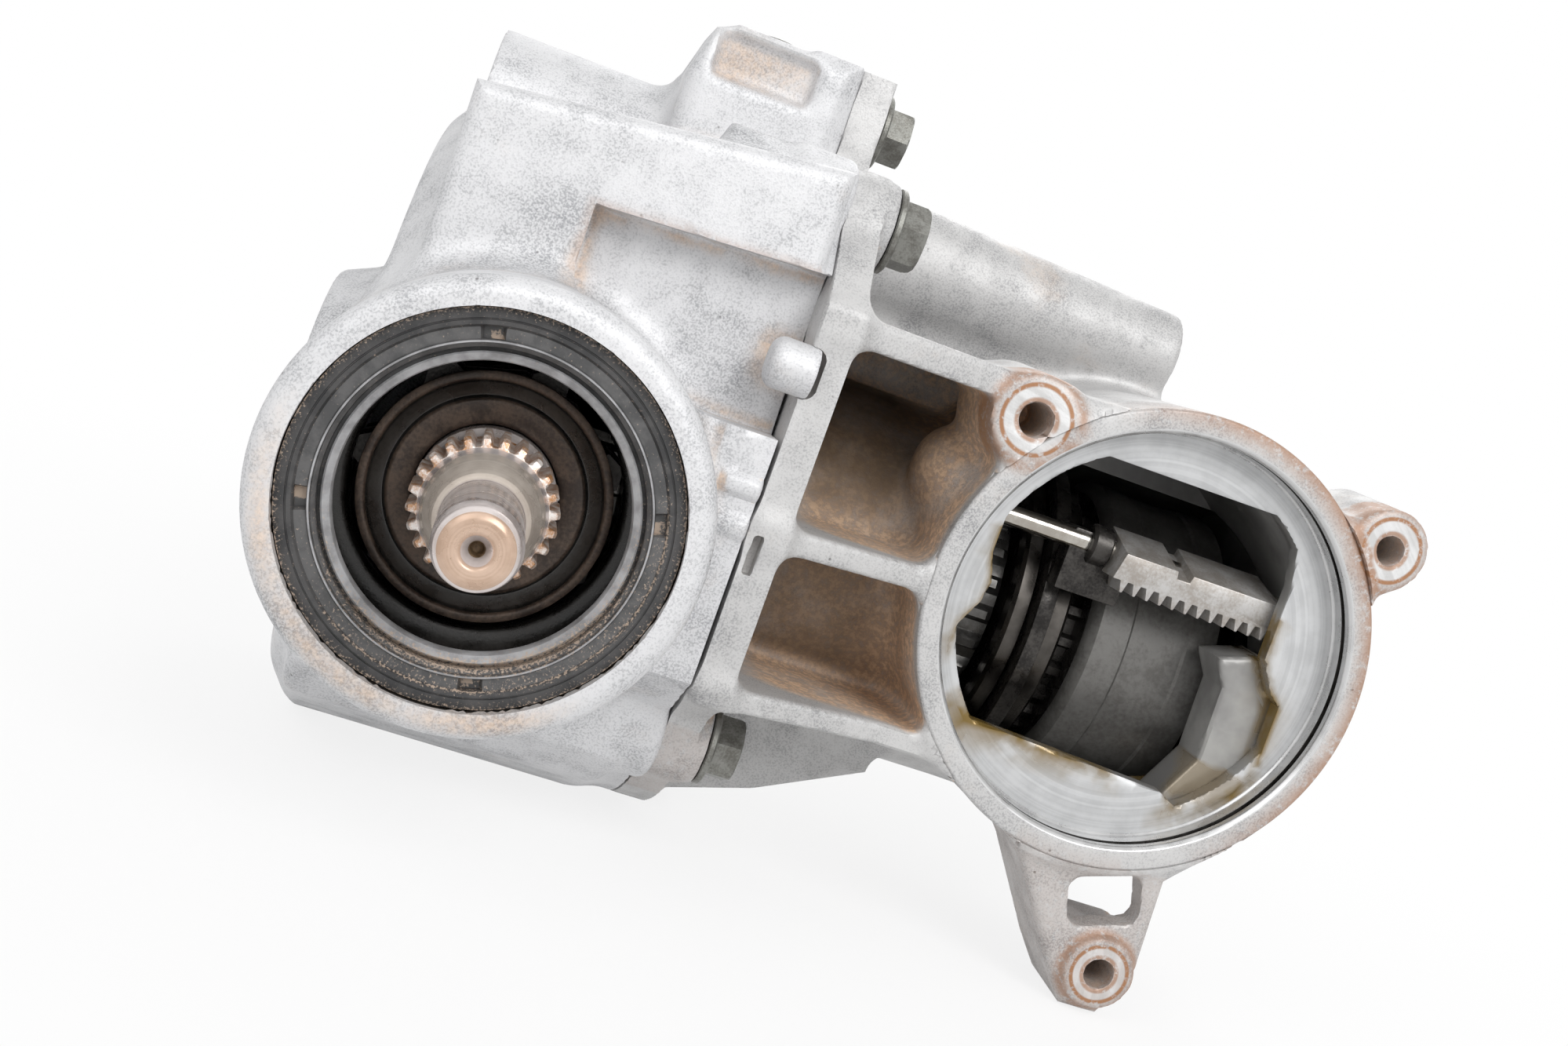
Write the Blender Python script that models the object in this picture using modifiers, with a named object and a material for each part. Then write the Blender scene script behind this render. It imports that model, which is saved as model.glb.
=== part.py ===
"""Front differential with an electric-actuator housing.

Lengths are written in millimetres and turned into metres by mm().
X runs along the axle to the cover side, Y runs from the pinion nose into
the casting, Z is up. Every piece is placed from the centre of the pinion
seal's front face, and hangs on one empty that stands the assembly with the
middle of its footprint at the origin.
"""
import math

import bmesh
import bpy
from mathutils import Matrix, Vector

# Footprint of the assembly: the seal-face centre in the world.
SEAL_FACE_X = -72.95
SEAL_FACE_Y = -75.70
SEAL_FACE_Z = 68.0

# Fits.
GAP = 0.3                 # between a piece and its seat
RUN = 0.5                 # between a turning piece and a fixed wall

# Pinion seal, 48 x 65 x 9.
SEAL_OD = 65.0
SEAL_ID = SEAL_OD - 17.0
SEAL_WIDTH = 9.0
NECK_R = SEAL_OD / 2 + 3.5
NECK_CHAMFER = 1.2

# Axle line and gears.
AXLE_Y = 105.0
RING_TEETH = 41
PINION_TEETH = 11
RING_PITCH_R = 56.0
GEAR_FACE = 15.0
TOOTH_TIP = 0.70          # addendum in modules
TOOTH_ROOT = 1.00         # dedendum in modules
RING_BACK_X = 27.0
RING_BORE_R = 36.0

# Pinion shaft.
NOSE_LENGTH = 34.5
NOSE_R = 6.75
SPLINE_R = 12.3
SPLINE_TEETH = 24
SPLINE_DEPTH = 1.3
SPLINE_LENGTH = 12.0
JOURNAL_R = 12.0
SLINGER_R = SEAL_ID / 2 - 2.5
SLINGER_Y = 15.0
PINION_BEARING_R = SEAL_OD / 2 - 4.5
FRONT_BEARING_Y = 24.0
PINION_BEARING_WIDTH = 11.0

# Differential carrier.
CARRIER_MID_X = 7.0
CARRIER_R = 34.0
CARRIER_LEFT_X = -14.0
CARRIER_FLANGE = 6.5
CARRIER_FLANGE_R = 52.0
CARRIER_CAVITY_R = 27.5
CARRIER_ROOM = 16.5        # half its length
TRUNNION_R = 17.0
HUB_R = 13.0
CARRIER_BEARING_R = 28.0
CARRIER_BEARING_WIDTH = 12.0
SIDE_TEETH = 14
SPIDER_TEETH = 10
SIDE_PITCH_R = 18.0
SIDE_FACE = 8.0
CROSS_PIN_R = 5.0
SHAFT_R = 8.6

# Main case.
CASE_LEFT_X = -30.0
CASE_CHAMFER = 7.0
PARTING_X = 47.0
DRUM_R = 64.0
DRUM_WALL = 5.0
LEFT_BOSS_X = -42.0
LEFT_BOSS_R = 23.0
AXLE_SEAL_R = 17.5
AXLE_SEAL_WIDTH = 6.0
BLOCK_FRONT_Y = 36.0
BLOCK_TOP_LEFT_Z = 66.5
BLOCK_TOP_RIGHT_Z = 74.5
BASE_Z = -(DRUM_R + 4.0)
FLANGE_THICK = 10.0
FLANGE_R = DRUM_R + 2.0
FLANGE_FRONT_Y = AXLE_Y - DRUM_R - 7.0
HUMP_TOP_Z = 99.0
DRAIN_RECESS = 4.5
DRAIN = (8.0, 112.0)       # X and Y
DRAIN_R = 7.0
BREATHER = (30.0, 104.0)
BREATHER_R = 3.0
BREATHER_CAP = 1.6         # how far the vent cap stands above the hump
FILL_X = 24.0
FILL_Z = 26.0
FILL_R = 8.0

# Mount tubes.
TUBE_Y = 110.0
TUBE_Z = 66.0
LEFT_TUBE_R = 17.0
LEFT_TUBE_X = -25.0
LEFT_TUBE_BORE_R = 9.0
RIGHT_TUBE_ROOT_R = 14.0
RIGHT_TUBE_END_R = 10.5
RIGHT_TUBE_X = 139.0
RIGHT_TUBE_BORE_R = 5.2

# Flange bolts: Y and Z of each.
BOLTS = [(60.0, 68.0), (112.0, 91.0), (150.0, 60.0), (177.0, 8.0),
         (163.0, -38.0), (118.0, -59.0), (59.0, -40.0)]
BOLT_R = 4.0
BOLT_FLATS = 12.0
BOLT_HEAD = 5.5
WASHER_R = 8.5
WASHER_THICK = 1.6
BOLT_GRIP = 24.0
LUG_R = 9.0
FLANGE_POINTS = 48
DOWELS = [(74.0, 62.0), (144.0, -54.0)]
DOWEL_R = 3.5
DOWEL_LENGTH = 12.0

# Cover, axle tube and actuator housing.
COVER_PLATE = 7.5
LUG_STAND = 2.5           # how far the bolt lugs stand above the plate
AXLE_TUBE_R = 42.0
HUB_TUBE_R = 37.0
AXLE_TUBE_X = 188.0
AXLE_TUBE_WALL = 4.0
MOUTH_X = 133.4
MOUTH_Z = 9.0
MOUTH_Y = AXLE_Y - AXLE_TUBE_R - 18.0
MOUTH_R = AXLE_TUBE_R + 0.2
CUP_R = MOUTH_R + 5.0
MOUTH_DEPTH = 7.0
CHAMBER_R = AXLE_TUBE_R - AXLE_TUBE_WALL
CHAMBER_LEFT_X = 98.0
CHAMBER_RIGHT_X = 168.0
SEAL_GROOVE_R = MOUTH_R + 1.8
SEAL_GROOVE_WIDTH = 1.4
SEAL_GROOVE_DEPTH = 1.5
RIB_FRONT_Y = 35.0
RIB_CUP_X = 88.0
RIBS = [(47.8, 5.6), (6.8, 4.8), (-25.0, 4.4)]    # Z and thickness
EARS = [(95.0, 43.3, 8.8, 3.4), (174.3, 42.7, 8.2, 3.0), (149.2, -58.7, 7.6, 3.2)]
EAR_DEPTH = 24.0
SLOT_X = 145.5
SLOT_Z = -44.2
SLOT_WIDTH = 15.5
SLOT_HEIGHT = 10.5
SLOT_LEAN = 18.0

# Clutch and shift.
CLUTCH_X = 103.0
CLUTCH_WIDTH = 9.0
CLUTCH_R = CHAMBER_R - 10.8
DOG_TEETH = 24
DOG_DEPTH = 2.2
DOG_ROOT_R = CLUTCH_R - DOG_DEPTH
SPLINE_HUB_X = 114.0
DRUM_START_X = 131.0
CLUTCH_DRUM_R = CHAMBER_R - 4.0
DRUM_END_X = 163.0
OUTPUT_R = 13.0
SLEEVE_X = 113.0
SLEEVE_LENGTH = 13.0
SLEEVE_R = CHAMBER_R - 5.0
SLEEVE_BORE_R = CLUTCH_R + 0.8
SLEEVE_TOOTH_START = 8.0
FORK_GROOVE_X = 4.0
FORK_GROOVE_WIDTH = 4.6
FORK_GROOVE_R = SLEEVE_R - 3.8
RACK_X = 126.0
RACK_LENGTH = 40.0
RACK_FRONT_Y = AXLE_Y - AXLE_TUBE_R - 1.5
RACK_DEPTH = 9.0
RACK_TOP_Z = 26.0
RACK_HEIGHT = 7.2
RACK_TEETH = 12
RACK_TOOTH = 2.3
GUIDE_R = 1.9
GUIDE_Z = 23.0
GUIDE_Y = RACK_FRONT_Y + 4.5
GUIDE_LEFT_X = 93.5
GUIDE_RIGHT_X = 173.5
OUTPUT_BEARING_R = 26.0
OUTPUT_BEARING_WIDTH = 12.0

LARGE = 32                # sides of the castings
ROUND = 20                # sides of a round piece
SMALL = 12                # sides of a small one

PITCH_RATIO = PINION_TEETH / RING_TEETH
RING_CONE = math.atan2(RING_TEETH, PINION_TEETH)
PINION_CONE = math.pi / 2 - RING_CONE
CONE_LENGTH = RING_PITCH_R / math.sin(RING_CONE)
COVER_X = PARTING_X + GAP
FILL_FACE_Y = AXLE_Y + FLANGE_R
BOLT_TIP_X = PARTING_X + COVER_PLATE + LUG_STAND - BOLT_GRIP
PINION_TAIL_Y = FRONT_BEARING_Y + 2 * PINION_BEARING_WIDTH + GAP


def mm(value):
    """Millimetres to metres."""
    return value / 1000.0


def clear_scene():
    for item in list(bpy.data.objects):
        bpy.data.objects.remove(item, do_unlink=True)


def make_collection(name):
    collection = bpy.data.collections.new(name)
    bpy.context.scene.collection.children.link(collection)
    return collection


def make_material(name, colour, roughness, metallic):
    material = bpy.data.materials.new(name)
    material.use_nodes = True
    shader = material.node_tree.nodes["Principled BSDF"]
    shader.inputs["Base Color"].default_value = (*colour, 1.0)
    shader.inputs["Roughness"].default_value = roughness
    shader.inputs["Metallic"].default_value = metallic
    material.diffuse_color = (*colour, 1.0)
    return material


FINISHES = {
    "cast": ((0.62, 0.61, 0.58), 0.55, 0.9),
    "steel": ((0.55, 0.54, 0.52), 0.32, 1.0),
    "rust": ((0.33, 0.2, 0.12), 0.6, 0.7),
    "bolt": ((0.38, 0.37, 0.31), 0.5, 0.8),
    "rubber": ((0.03, 0.03, 0.032), 0.6, 0.0),
    "rack": ((0.42, 0.38, 0.32), 0.4, 0.9),
}

clear_scene()
PARTS = make_collection("front_differential")
CUTTERS = make_collection("cutters")
STAND = bpy.data.objects.new("stand", None)
STAND.location = (mm(SEAL_FACE_X), mm(SEAL_FACE_Y), mm(SEAL_FACE_Z))
PARTS.objects.link(STAND)
TURNS = {"x": (0.0, math.pi / 2, 0.0), "y": (-math.pi / 2, 0.0, 0.0), "z": (0.0, 0.0, 0.0)}


def add_object(name, mesh, place=(0, 0, 0), turn=(0, 0, 0)):
    """An object among the tools until it is finished as a part."""
    item = bpy.data.objects.new(name, mesh)
    item.location = [mm(value) for value in place]
    item.rotation_euler = turn
    item.parent = STAND
    item.hide_render = True
    item.display_type = "WIRE"
    CUTTERS.objects.link(item)
    return item


def finish(item, look):
    """Make an object a part, with its material and smooth round faces."""
    CUTTERS.objects.unlink(item)
    PARTS.objects.link(item)
    item.hide_render = False
    item.display_type = "TEXTURED"
    colour, roughness, metallic = FINISHES[look]
    item.data.materials.clear()
    item.data.materials.append(make_material(item.name, colour, roughness, metallic))
    item.data.shade_smooth()
    item.data.set_sharp_from_angle(angle=math.radians(35))
    return item


def mesh_from(build, name):
    shape = bmesh.new()
    build(shape)
    bmesh.ops.recalc_face_normals(shape, faces=shape.faces)
    mesh = bpy.data.meshes.new(name)
    shape.to_mesh(mesh)
    shape.free()
    return mesh


def box(name, low, high):
    """A block between two corners."""
    size = [mm(b - a) for a, b in zip(low, high)]
    middle = [(a + b) / 2 for a, b in zip(low, high)]

    def build(shape):
        bmesh.ops.create_cube(shape, size=1.0, matrix=Matrix.Diagonal((*size, 1.0)))

    return add_object(name, mesh_from(build, name), middle)


def rod(name, axis, place, start, end, radius, end_radius=None, sides=ROUND):
    """A cylinder or cone along an axis, from start to end on that axis."""
    last = radius if end_radius is None else end_radius

    def build(shape):
        bmesh.ops.create_cone(shape, cap_ends=True, segments=sides, radius1=mm(radius),
                              radius2=mm(last), depth=mm(end - start))

    spot = list(place)
    spot["xyz".index(axis)] = (start + end) / 2
    return add_object(name, mesh_from(build, name), spot, TURNS[axis])


def prism(name, axis, outline, start, end):
    """An outline across an axis, pushed along it. Points are the two other axes in order."""
    index = "xyz".index(axis)

    def spot(point, along):
        place = list(point)
        place.insert(index, along)
        return Vector([mm(value) for value in place])

    def build(shape):
        near = [shape.verts.new(spot(point, start)) for point in outline]
        face = shape.faces.new(near)
        pushed = bmesh.ops.extrude_face_region(shape, geom=[face])
        move = spot((0, 0), end - start)
        moved = [part for part in pushed["geom"] if isinstance(part, bmesh.types.BMVert)]
        bmesh.ops.translate(shape, verts=moved, vec=move)

    return add_object(name, mesh_from(build, name))


def turned(name, axis, place, profile, sides=ROUND):
    """A profile of (radius, along) points turned round an axis, closed on itself or at the axis."""
    area = sum(a[0] * b[1] - b[0] * a[1] for a, b in zip(profile, profile[1:] + profile[:1]))
    points = profile if area < 0 else profile[::-1]
    on_axis = [point for point in points if point[0] == 0]
    if on_axis:
        while not (points[0][0] == 0 and points[-1][0] == 0):
            points = points[1:] + points[:1]
    mesh = bpy.data.meshes.new(name)
    edges = [(i, i + 1) for i in range(len(points) - 1)]
    if not on_axis:
        edges.append((len(points) - 1, 0))
    mesh.from_pydata([(mm(r), 0.0, mm(s)) for r, s in points], edges, [])
    item = add_object(name, mesh, place, TURNS[axis])
    screw = item.modifiers.new("turn", "SCREW")
    screw.axis = "Z"
    screw.steps = sides
    screw.render_steps = sides
    screw.use_merge_vertices = True
    screw.merge_threshold = 0.00001
    screw.use_normal_calculate = False
    return item


def combine(item, tools, kind):
    for tool in tools:
        step = item.modifiers.new(kind.lower(), "BOOLEAN")
        step.operation = kind
        step.object = tool
        step.solver = "EXACT"
    return item


def join(item, *tools):
    return combine(item, tools, "UNION")


def cut(item, *tools):
    return combine(item, tools, "DIFFERENCE")


def spline_outline(teeth, tip, root, tip_share=0.30, root_share=0.56):
    """Corners of a splined outline: four to a tooth."""
    points = []
    pitch = 2 * math.pi / teeth
    for tooth in range(teeth):
        middle = tooth * pitch
        for radius, share in ((root, -root_share), (tip, -tip_share), (tip, tip_share), (root, root_share)):
            angle = middle + share * pitch / 2
            points.append((radius * math.cos(angle), radius * math.sin(angle)))
    return points


def spline_rod(name, place, start, end, teeth, tip, root, **shares):
    """A splined bar along X about a place given as (y, z)."""
    outline = spline_outline(teeth, tip, root, **shares)
    moved = [(place[0] + a, place[1] + b) for a, b in outline]
    return prism(name, "x", moved, start, end)


def bevel_gear(name, apex, axis_way, side_way, teeth, mate, pitch_r, face, back, phase=0.0, thick=0.40):
    """A straight bevel gear on its pitch cone. Sections at the outer and the inner end of the
    teeth scale with their distance to the apex; back lists (along, radius) of the turned rear."""
    cone = math.atan2(teeth, mate)
    outer = pitch_r / math.sin(cone)
    module = 2 * pitch_r / teeth
    pitch = 2 * math.pi / teeth
    slope = math.tan(math.radians(20))
    tip_half = (thick * math.pi / 2 - 2 * TOOTH_TIP * slope * 0.62) / math.pi
    root_half = (thick * math.pi / 2 + 2 * TOOTH_ROOT * slope * 0.5) / math.pi
    axis = Vector(axis_way)
    side = Vector(side_way)
    third = axis.cross(side)
    steps = []
    for tooth in range(teeth):
        for height, half in ((-TOOTH_ROOT, -root_half), (TOOTH_TIP, -tip_half),
                             (TOOTH_TIP, tip_half), (-TOOTH_ROOT, root_half)):
            steps.append((cone + height * module / outer, (tooth + half) * pitch + phase))

    def spot(along, radius, angle):
        ring = side * math.cos(angle) + third * math.sin(angle)
        return Vector([mm(value) for value in axis * along + ring * radius])

    def build(shape):
        rings = []
        for length in (outer, outer - face):
            rings.append([shape.verts.new(spot(length * math.cos(lean), length * math.sin(lean), angle))
                          for lean, angle in steps])
        rear = [[shape.verts.new(spot(along, radius, angle)) for _, angle in steps]
                for along, radius in back]
        loops = [rings[1], rings[0], *rear]
        for first, second in zip(loops, loops[1:] + loops[:1]):
            for i in range(len(first)):
                j = (i + 1) % len(first)
                shape.faces.new((first[i], first[j], second[j], second[i]))
        bmesh.ops.triangulate(shape, faces=shape.faces)

    return add_object(name, mesh_from(build, name), apex)


def bearing(name, axis, place, start, width, bore, outside, rollers=7):
    """Outer race, inner race and a caged set of rollers, each a piece."""
    race = (outside - bore) * 0.24
    middle = (outside + bore) / 2
    end = start + width
    outer = turned(name + "_outer_race", axis, place, [
        (outside, start), (outside, end), (outside - race, end), (outside - race, start)])
    inner = turned(name + "_inner_race", axis, place, [
        (bore + race, start), (bore + race, end), (bore, end), (bore, start)])
    finish(outer, "steel")
    finish(inner, "steel")
    reach = outside - race - GAP - middle
    cage = turned(name + "_roller_cage", axis, place, [
        (middle + 0.8, start + 1.0), (middle + 0.8, end - 1.0), (middle - 0.8, end - 1.0),
        (middle - 0.8, start + 1.0)], sides=SMALL)
    set_of = []
    for index in range(rollers):
        angle = 2 * math.pi * (index + 0.5) / rollers
        spot = list(place)
        across = [k for k in range(3) if k != "xyz".index(axis)]
        spot[across[0]] += middle * math.cos(angle)
        spot[across[1]] += middle * math.sin(angle)
        set_of.append(rod(f"{name}_roller_{index}", axis, spot, start + 2.2, end - 2.2, reach, sides=6))
    join(cage, *set_of)
    finish(cage, "steel")


AXLE = (0.0, AXLE_Y, 0.0)
PINION = (0.0, 0.0, 0.0)


def ray_to_circle(angle, y, z, radius):
    """How far a ray from the axle reaches through a circle, or nothing."""
    along = (y - AXLE_Y) * math.cos(angle) + z * math.sin(angle)
    aside = (y - AXLE_Y) * math.sin(angle) - z * math.cos(angle)
    if abs(aside) >= radius or along < 0:
        return 0.0
    return along + math.sqrt(radius * radius - aside * aside)


def ray_to_corners(angle, corners):
    """How far a ray from the axle reaches through a closed outline."""
    reach = 0.0
    way = (math.cos(angle), math.sin(angle))
    for (y0, z0), (y1, z1) in zip(corners, corners[1:] + corners[:1]):
        edge = (y1 - y0, z1 - z0)
        cross = way[0] * edge[1] - way[1] * edge[0]
        if abs(cross) < 1e-9:
            continue
        start = (y0 - AXLE_Y, z0)
        along = (start[0] * edge[1] - start[1] * edge[0]) / cross
        share = (start[0] * way[1] - start[1] * way[0]) / cross
        if along > 0 and 0 <= share <= 1:
            reach = max(reach, along)
    return reach


def flange_outline():
    """The parting flange across the axle: a disc, a front web, a hump and the bolt lugs."""
    front = [(FLANGE_FRONT_Y, -24.0), (FLANGE_FRONT_Y, 50.0), (BOLTS[0][0] - LUG_R, 68.0), (90.0, 68.0),
             (90.0, -40.0), (BOLTS[6][0] - LUG_R, BOLTS[6][1])]
    hump = [(82.0, 30.0), (88.0, HUMP_TOP_Z), (114.0, HUMP_TOP_Z), (152.0, 66.0), (150.0, 30.0)]
    angles = [2 * math.pi * (step + 0.5) / FLANGE_POINTS - math.pi for step in range(FLANGE_POINTS)]
    for y, z in BOLTS:
        middle = math.atan2(z, y - AXLE_Y)
        half = math.asin(LUG_R / math.hypot(y - AXLE_Y, z))
        angles += [middle + half * share for share in (-0.99, -0.8, -0.3, 0.3, 0.8, 0.99)]
    points = []
    for angle in sorted(math.remainder(angle, 2 * math.pi) for angle in angles):
        reach = max([FLANGE_R, ray_to_corners(angle, front), ray_to_corners(angle, hump)]
                    + [ray_to_circle(angle, y, z, LUG_R) for y, z in BOLTS])
        points.append((AXLE_Y + reach * math.cos(angle), reach * math.sin(angle)))
    return points


def make_main_case():
    case = turned("main_case", "x", AXLE, [
        (0, CASE_LEFT_X), (DRUM_R - CASE_CHAMFER, CASE_LEFT_X), (DRUM_R, CASE_LEFT_X + CASE_CHAMFER),
        (DRUM_R, PARTING_X - 3.0), (0, PARTING_X - 3.0)], sides=LARGE)
    neck = turned("neck", "y", PINION, [
        (0, 0), (NECK_R - NECK_CHAMFER, 0), (NECK_R, NECK_CHAMFER), (NECK_R, 60.0), (0, 60.0)], sides=LARGE)
    block = prism("block", "y", [
        (LEFT_TUBE_X + 1.0, 18.0), (PARTING_X - 2.0, 18.0), (PARTING_X - 2.0, BLOCK_TOP_RIGHT_Z),
        (LEFT_TUBE_X + 1.0, BLOCK_TOP_LEFT_Z)], BLOCK_FRONT_Y, 84.0)
    hump = prism("hump", "y", [
        (12.5, 40.0), (12.5, 86.0), (15.5, 96.5), (20.0, HUMP_TOP_Z - 0.5),
        (PARTING_X - 1.0, HUMP_TOP_Z - 0.5), (PARTING_X - 1.0, 40.0)], 85.0, 118.0)
    lower = prism("lower", "x", [
        (50.0, -20.0), (50.0, -46.0), (58.0, -54.0), (74.0, -60.0), (96.0, BASE_Z), (130.0, BASE_Z),
        (140.0, -40.0), (105.0, -20.0)], LEFT_TUBE_X, PARTING_X - FLANGE_THICK + 4.0)
    tube = rod("left_tube", "x", (0, TUBE_Y, TUBE_Z), LEFT_TUBE_X, 36.0, LEFT_TUBE_R)
    web = box("tube_web", (LEFT_TUBE_X + 3.0, 84.0, 40.0), (36.0, TUBE_Y + 8.0, TUBE_Z))
    boss = rod("left_boss", "x", AXLE, LEFT_BOSS_X, CASE_LEFT_X + 6.0, LEFT_BOSS_R, 31.0)
    join(case, neck, block, hump, lower, tube, web, boss)
    flange = prism("case_flange", "x", flange_outline(), PARTING_X - FLANGE_THICK, PARTING_X)
    plug_boss = rod("fill_boss", "y", (FILL_X, 0, FILL_Z), AXLE_Y + 40.0, FILL_FACE_Y, 13.0, sides=LARGE)
    join(case, flange, plug_boss)

    seal_x = LEFT_BOSS_X + AXLE_SEAL_WIDTH + 2 * GAP
    seat_x = CARRIER_LEFT_X - CARRIER_BEARING_WIDTH - 2 * GAP
    room = turned("case_room", "x", AXLE, [
        (0, LEFT_BOSS_X - 1.0), (AXLE_SEAL_R + GAP, LEFT_BOSS_X - 1.0), (AXLE_SEAL_R + GAP, seal_x),
        (HUB_R + 2.0, seal_x), (HUB_R + 2.0, seat_x), (CARRIER_BEARING_R + GAP, seat_x),
        (CARRIER_BEARING_R + GAP, CARRIER_LEFT_X - RUN), (DRUM_R - DRUM_WALL, CARRIER_LEFT_X - RUN),
        (DRUM_R - DRUM_WALL, PARTING_X + 2.0), (0, PARTING_X + 2.0)], sides=LARGE)
    neck_room = turned("neck_room", "y", PINION, [
        (0, -2.0), (SEAL_OD / 2 + GAP, -2.0), (SEAL_OD / 2 + GAP, SEAL_WIDTH + 1.0),
        (PINION_BEARING_R + GAP, SEAL_WIDTH + 1.0), (PINION_BEARING_R + GAP, 62.0), (0, 62.0)], sides=LARGE)
    recess = prism("block_recess", "x", [(BLOCK_FRONT_Y - 2.0, 30.0), (BLOCK_FRONT_Y - 2.0, 53.5),
                                         (BLOCK_FRONT_Y + 9.0, 53.5), (BLOCK_FRONT_Y + 9.0, 30.0)],
                   2.0, PARTING_X - 3.0)
    hump_recess = box("hump_recess", (17.0, 82.0, 87.5), (38.0, 86.5, 96.0))
    tube_bore = rod("tube_bore", "x", (0, TUBE_Y, TUBE_Z), LEFT_TUBE_X - 1.0, 24.0, LEFT_TUBE_BORE_R,
                    sides=32)
    cut(case, room, neck_room, recess, hump_recess, tube_bore)
    for index, (y, z) in enumerate(BOLTS):
        cut(case, rod(f"case_hole_{index}", "x", (0, y, z), BOLT_TIP_X - 1.0, PARTING_X + 1.0, BOLT_R + GAP,
                      sides=SMALL))
    for index, (y, z) in enumerate(DOWELS):
        cut(case, rod(f"case_dowel_{index}", "x", (0, y, z), PARTING_X - DOWEL_LENGTH / 2 - GAP,
                      PARTING_X + 1.0, DOWEL_R + GAP, sides=SMALL))
    cut(case, rod("fill_hole", "y", (FILL_X, 0, FILL_Z), AXLE_Y + 34.0, FILL_FACE_Y + 2.0, FILL_R + GAP,
                  sides=SMALL))
    drain = (*DRAIN, 0)
    cut(case, rod("drain_hole", "z", drain, BASE_Z - 1.0, BASE_Z + 16.0, DRAIN_R + GAP, sides=SMALL))
    cut(case, rod("drain_spot", "z", drain, BASE_Z - 1.0, BASE_Z + DRAIN_RECESS, DRAIN_R + 5.0, sides=SMALL))
    cut(case, rod("breather_hole", "z", (*BREATHER, 0), 55.0, HUMP_TOP_Z + 1.0, BREATHER_R + GAP, sides=16))
    return finish(case, "cast")


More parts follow.
